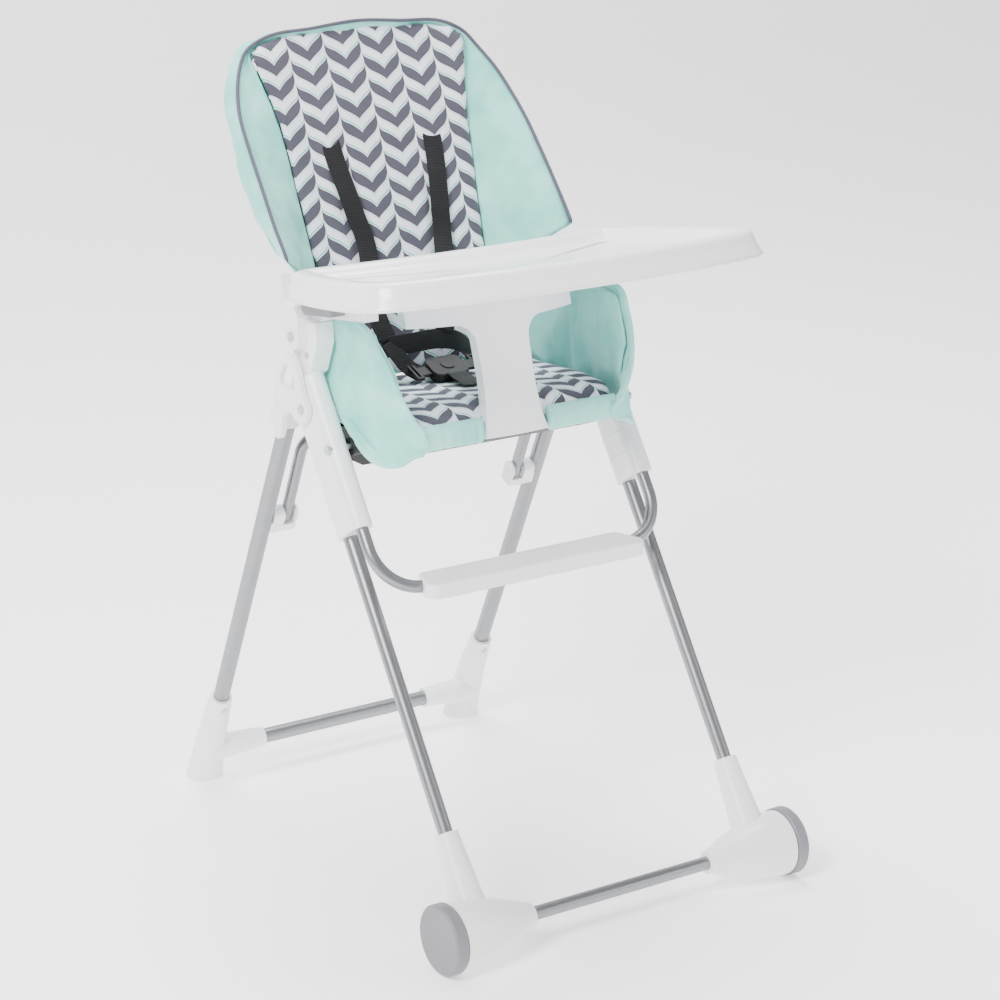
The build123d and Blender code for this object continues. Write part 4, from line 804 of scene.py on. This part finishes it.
def tray_shell():
    """The tray's skin: the outline swept through a rounded section of pairs (inward distance, height).

    The section runs from the dish floor over the rolled rim, down the flared fascia and back up inside it.
    """
    half = [(x * TRAY_HALF, y * TRAY_DEPTH) for x, y in TRAY_EDGE]
    line = smooth(half + [(-x, y) for x, y in reversed(half[1:-1])], 300, closed=True)
    nrm = inward(line)
    for _ in range(6):
        nrm = (np.roll(nrm, 1, 0) + nrm * 2 + np.roll(nrm, -1, 0)) / 4
        nrm /= np.linalg.norm(nrm, axis=1, keepdims=True)
    section = smooth(TRAY_SECTION, 56)
    ring = line[:, None, :] + nrm[:, None, :] * section[None, :, :1]
    rear = step(-40, 10, line[:, 1])[:, None] * step(-12, -33, section[:, 1])[None, :]
    ring[..., 1] -= 5 * rear
    high = section[None, :, 1] + 0 * ring[..., 0]
    across = np.abs(ring[..., 0])
    # the armrests pass here
    notch = step(183, 190, across) * step(229, 222, across) * step(-30, -8, ring[..., 1])
    high = high + notch * (np.maximum(high, -19.5) - high)
    pts = on_tray(ring[..., 0], ring[..., 1], high)
    n, m = pts.shape[:2]
    verts = pts.reshape(-1, 3)
    faces = grid_faces(n, m, wrap_n=True)
    steps = np.linspace(1, 0, 9)[1:]
    base, rings = len(verts), []
    for level, at in ((DISH_FLOOR, 0), (UNDERSIDE, m - 1)):
        inner = ring[:, at]
        for w in steps[:-1]:
            rings.append(on_tray(*(TRAY_MIDDLE + (inner - TRAY_MIDDLE) * w).T, level + 0 * inner[:, 0]))
        rings.append(on_tray(TRAY_MIDDLE[:1], TRAY_MIDDLE[1:], np.array([level])))
    verts = np.vstack([verts] + rings)
    start = base
    for at in (0, m - 1):
        prev = [i * m + at for i in range(n)]
        for _ in steps[:-1]:
            here = list(range(start, start + n))
            faces += [(prev[i], prev[(i + 1) % n], here[(i + 1) % n], here[i]) for i in range(n)]
            prev, start = here, start + n
        faces += [(prev[i], prev[(i + 1) % n], start) for i in range(n)]
        start += 1
    return mesh_object("tray_shell", verts, faces)


place(tray_shell(), TRAY_WHITE, "tray", ["tray"])


# ---------------------------------------------------------------- floor, light, camera
BACKDROP = [(-6, 0), (3.0, 0), (3.6, 0.06), (4.1, 0.24), (4.6, 0.7), (4.8, 1.4), (4.8, 6)]     # y, z in metres
LIGHTS = (  # name, place and size in metres, power in watts, colour
    ("key", (-3.2, -1.6, 3.4), 1.6, 330, (1, 0.99, 0.98)),
    ("fill", (3.0, -3.4, 1.6), 2.2, 60, (0.97, 0.985, 1)),
    ("top", (0.4, 0.9, 4.0), 2.0, 240, (1, 1, 1)),
)
LIT_POINT = (0, 0, 0.6)
CAMERA_AT = (-1.919, -2.965, 1.574)
CAMERA_AIM = (0.5270, 0.7950, -0.3005)
LENS = 102.8
SENSOR = 36.0


def studio():
    """Pale floor curving up behind, and soft lights from the left, the front right and above."""
    verts = []
    faces = []
    for k, (y, z) in enumerate(BACKDROP):
        verts += [(-8000, y * 1000, z * 1000), (8000, y * 1000, z * 1000)]
        if k:
            faces.append((2 * k - 2, 2 * k - 1, 2 * k + 1, 2 * k))
    floor = mesh_object("studio_floor", verts, faces)
    n = Nodes("pale_floor")
    base = n.mix(n.noise(900.0, 1.0), srgb("FFFFFF"), srgb("FCFCFD"))
    floor_mat = n.surface(base=base, rough=0.75, spec=0.1)
    n.bsdf.inputs["Emission Color"].default_value = srgb("FFFFFF")
    n.bsdf.inputs["Emission Strength"].default_value = 0.7
    paint(floor, floor_mat)
    for name, at, size, power, colour in LIGHTS:
        light = bpy.data.lights.new(name, "AREA")
        light.shape, light.size, light.energy, light.color = "SQUARE", size, power, colour
        ob = bpy.data.objects.new(name, light)
        bpy.context.scene.collection.objects.link(ob)
        ob.location = at
        ob.rotation_euler = (Vector(LIT_POINT) - Vector(at)).to_track_quat("-Z", "Y").to_euler()
    world = bpy.data.worlds.new("studio")
    world.use_nodes = True
    world.node_tree.nodes["Background"].inputs[0].default_value = (1, 1, 1, 1)
    world.node_tree.nodes["Background"].inputs[1].default_value = 0.5
    bpy.context.scene.world = world


studio()
camera = bpy.data.objects.new("camera", bpy.data.cameras.new("camera"))
bpy.context.scene.collection.objects.link(camera)
camera.data.lens, camera.data.sensor_width = LENS, SENSOR
camera.location = CAMERA_AT
camera.rotation_euler = Vector(CAMERA_AIM).to_track_quat("-Z", "Y").to_euler()
bpy.context.scene.camera = camera
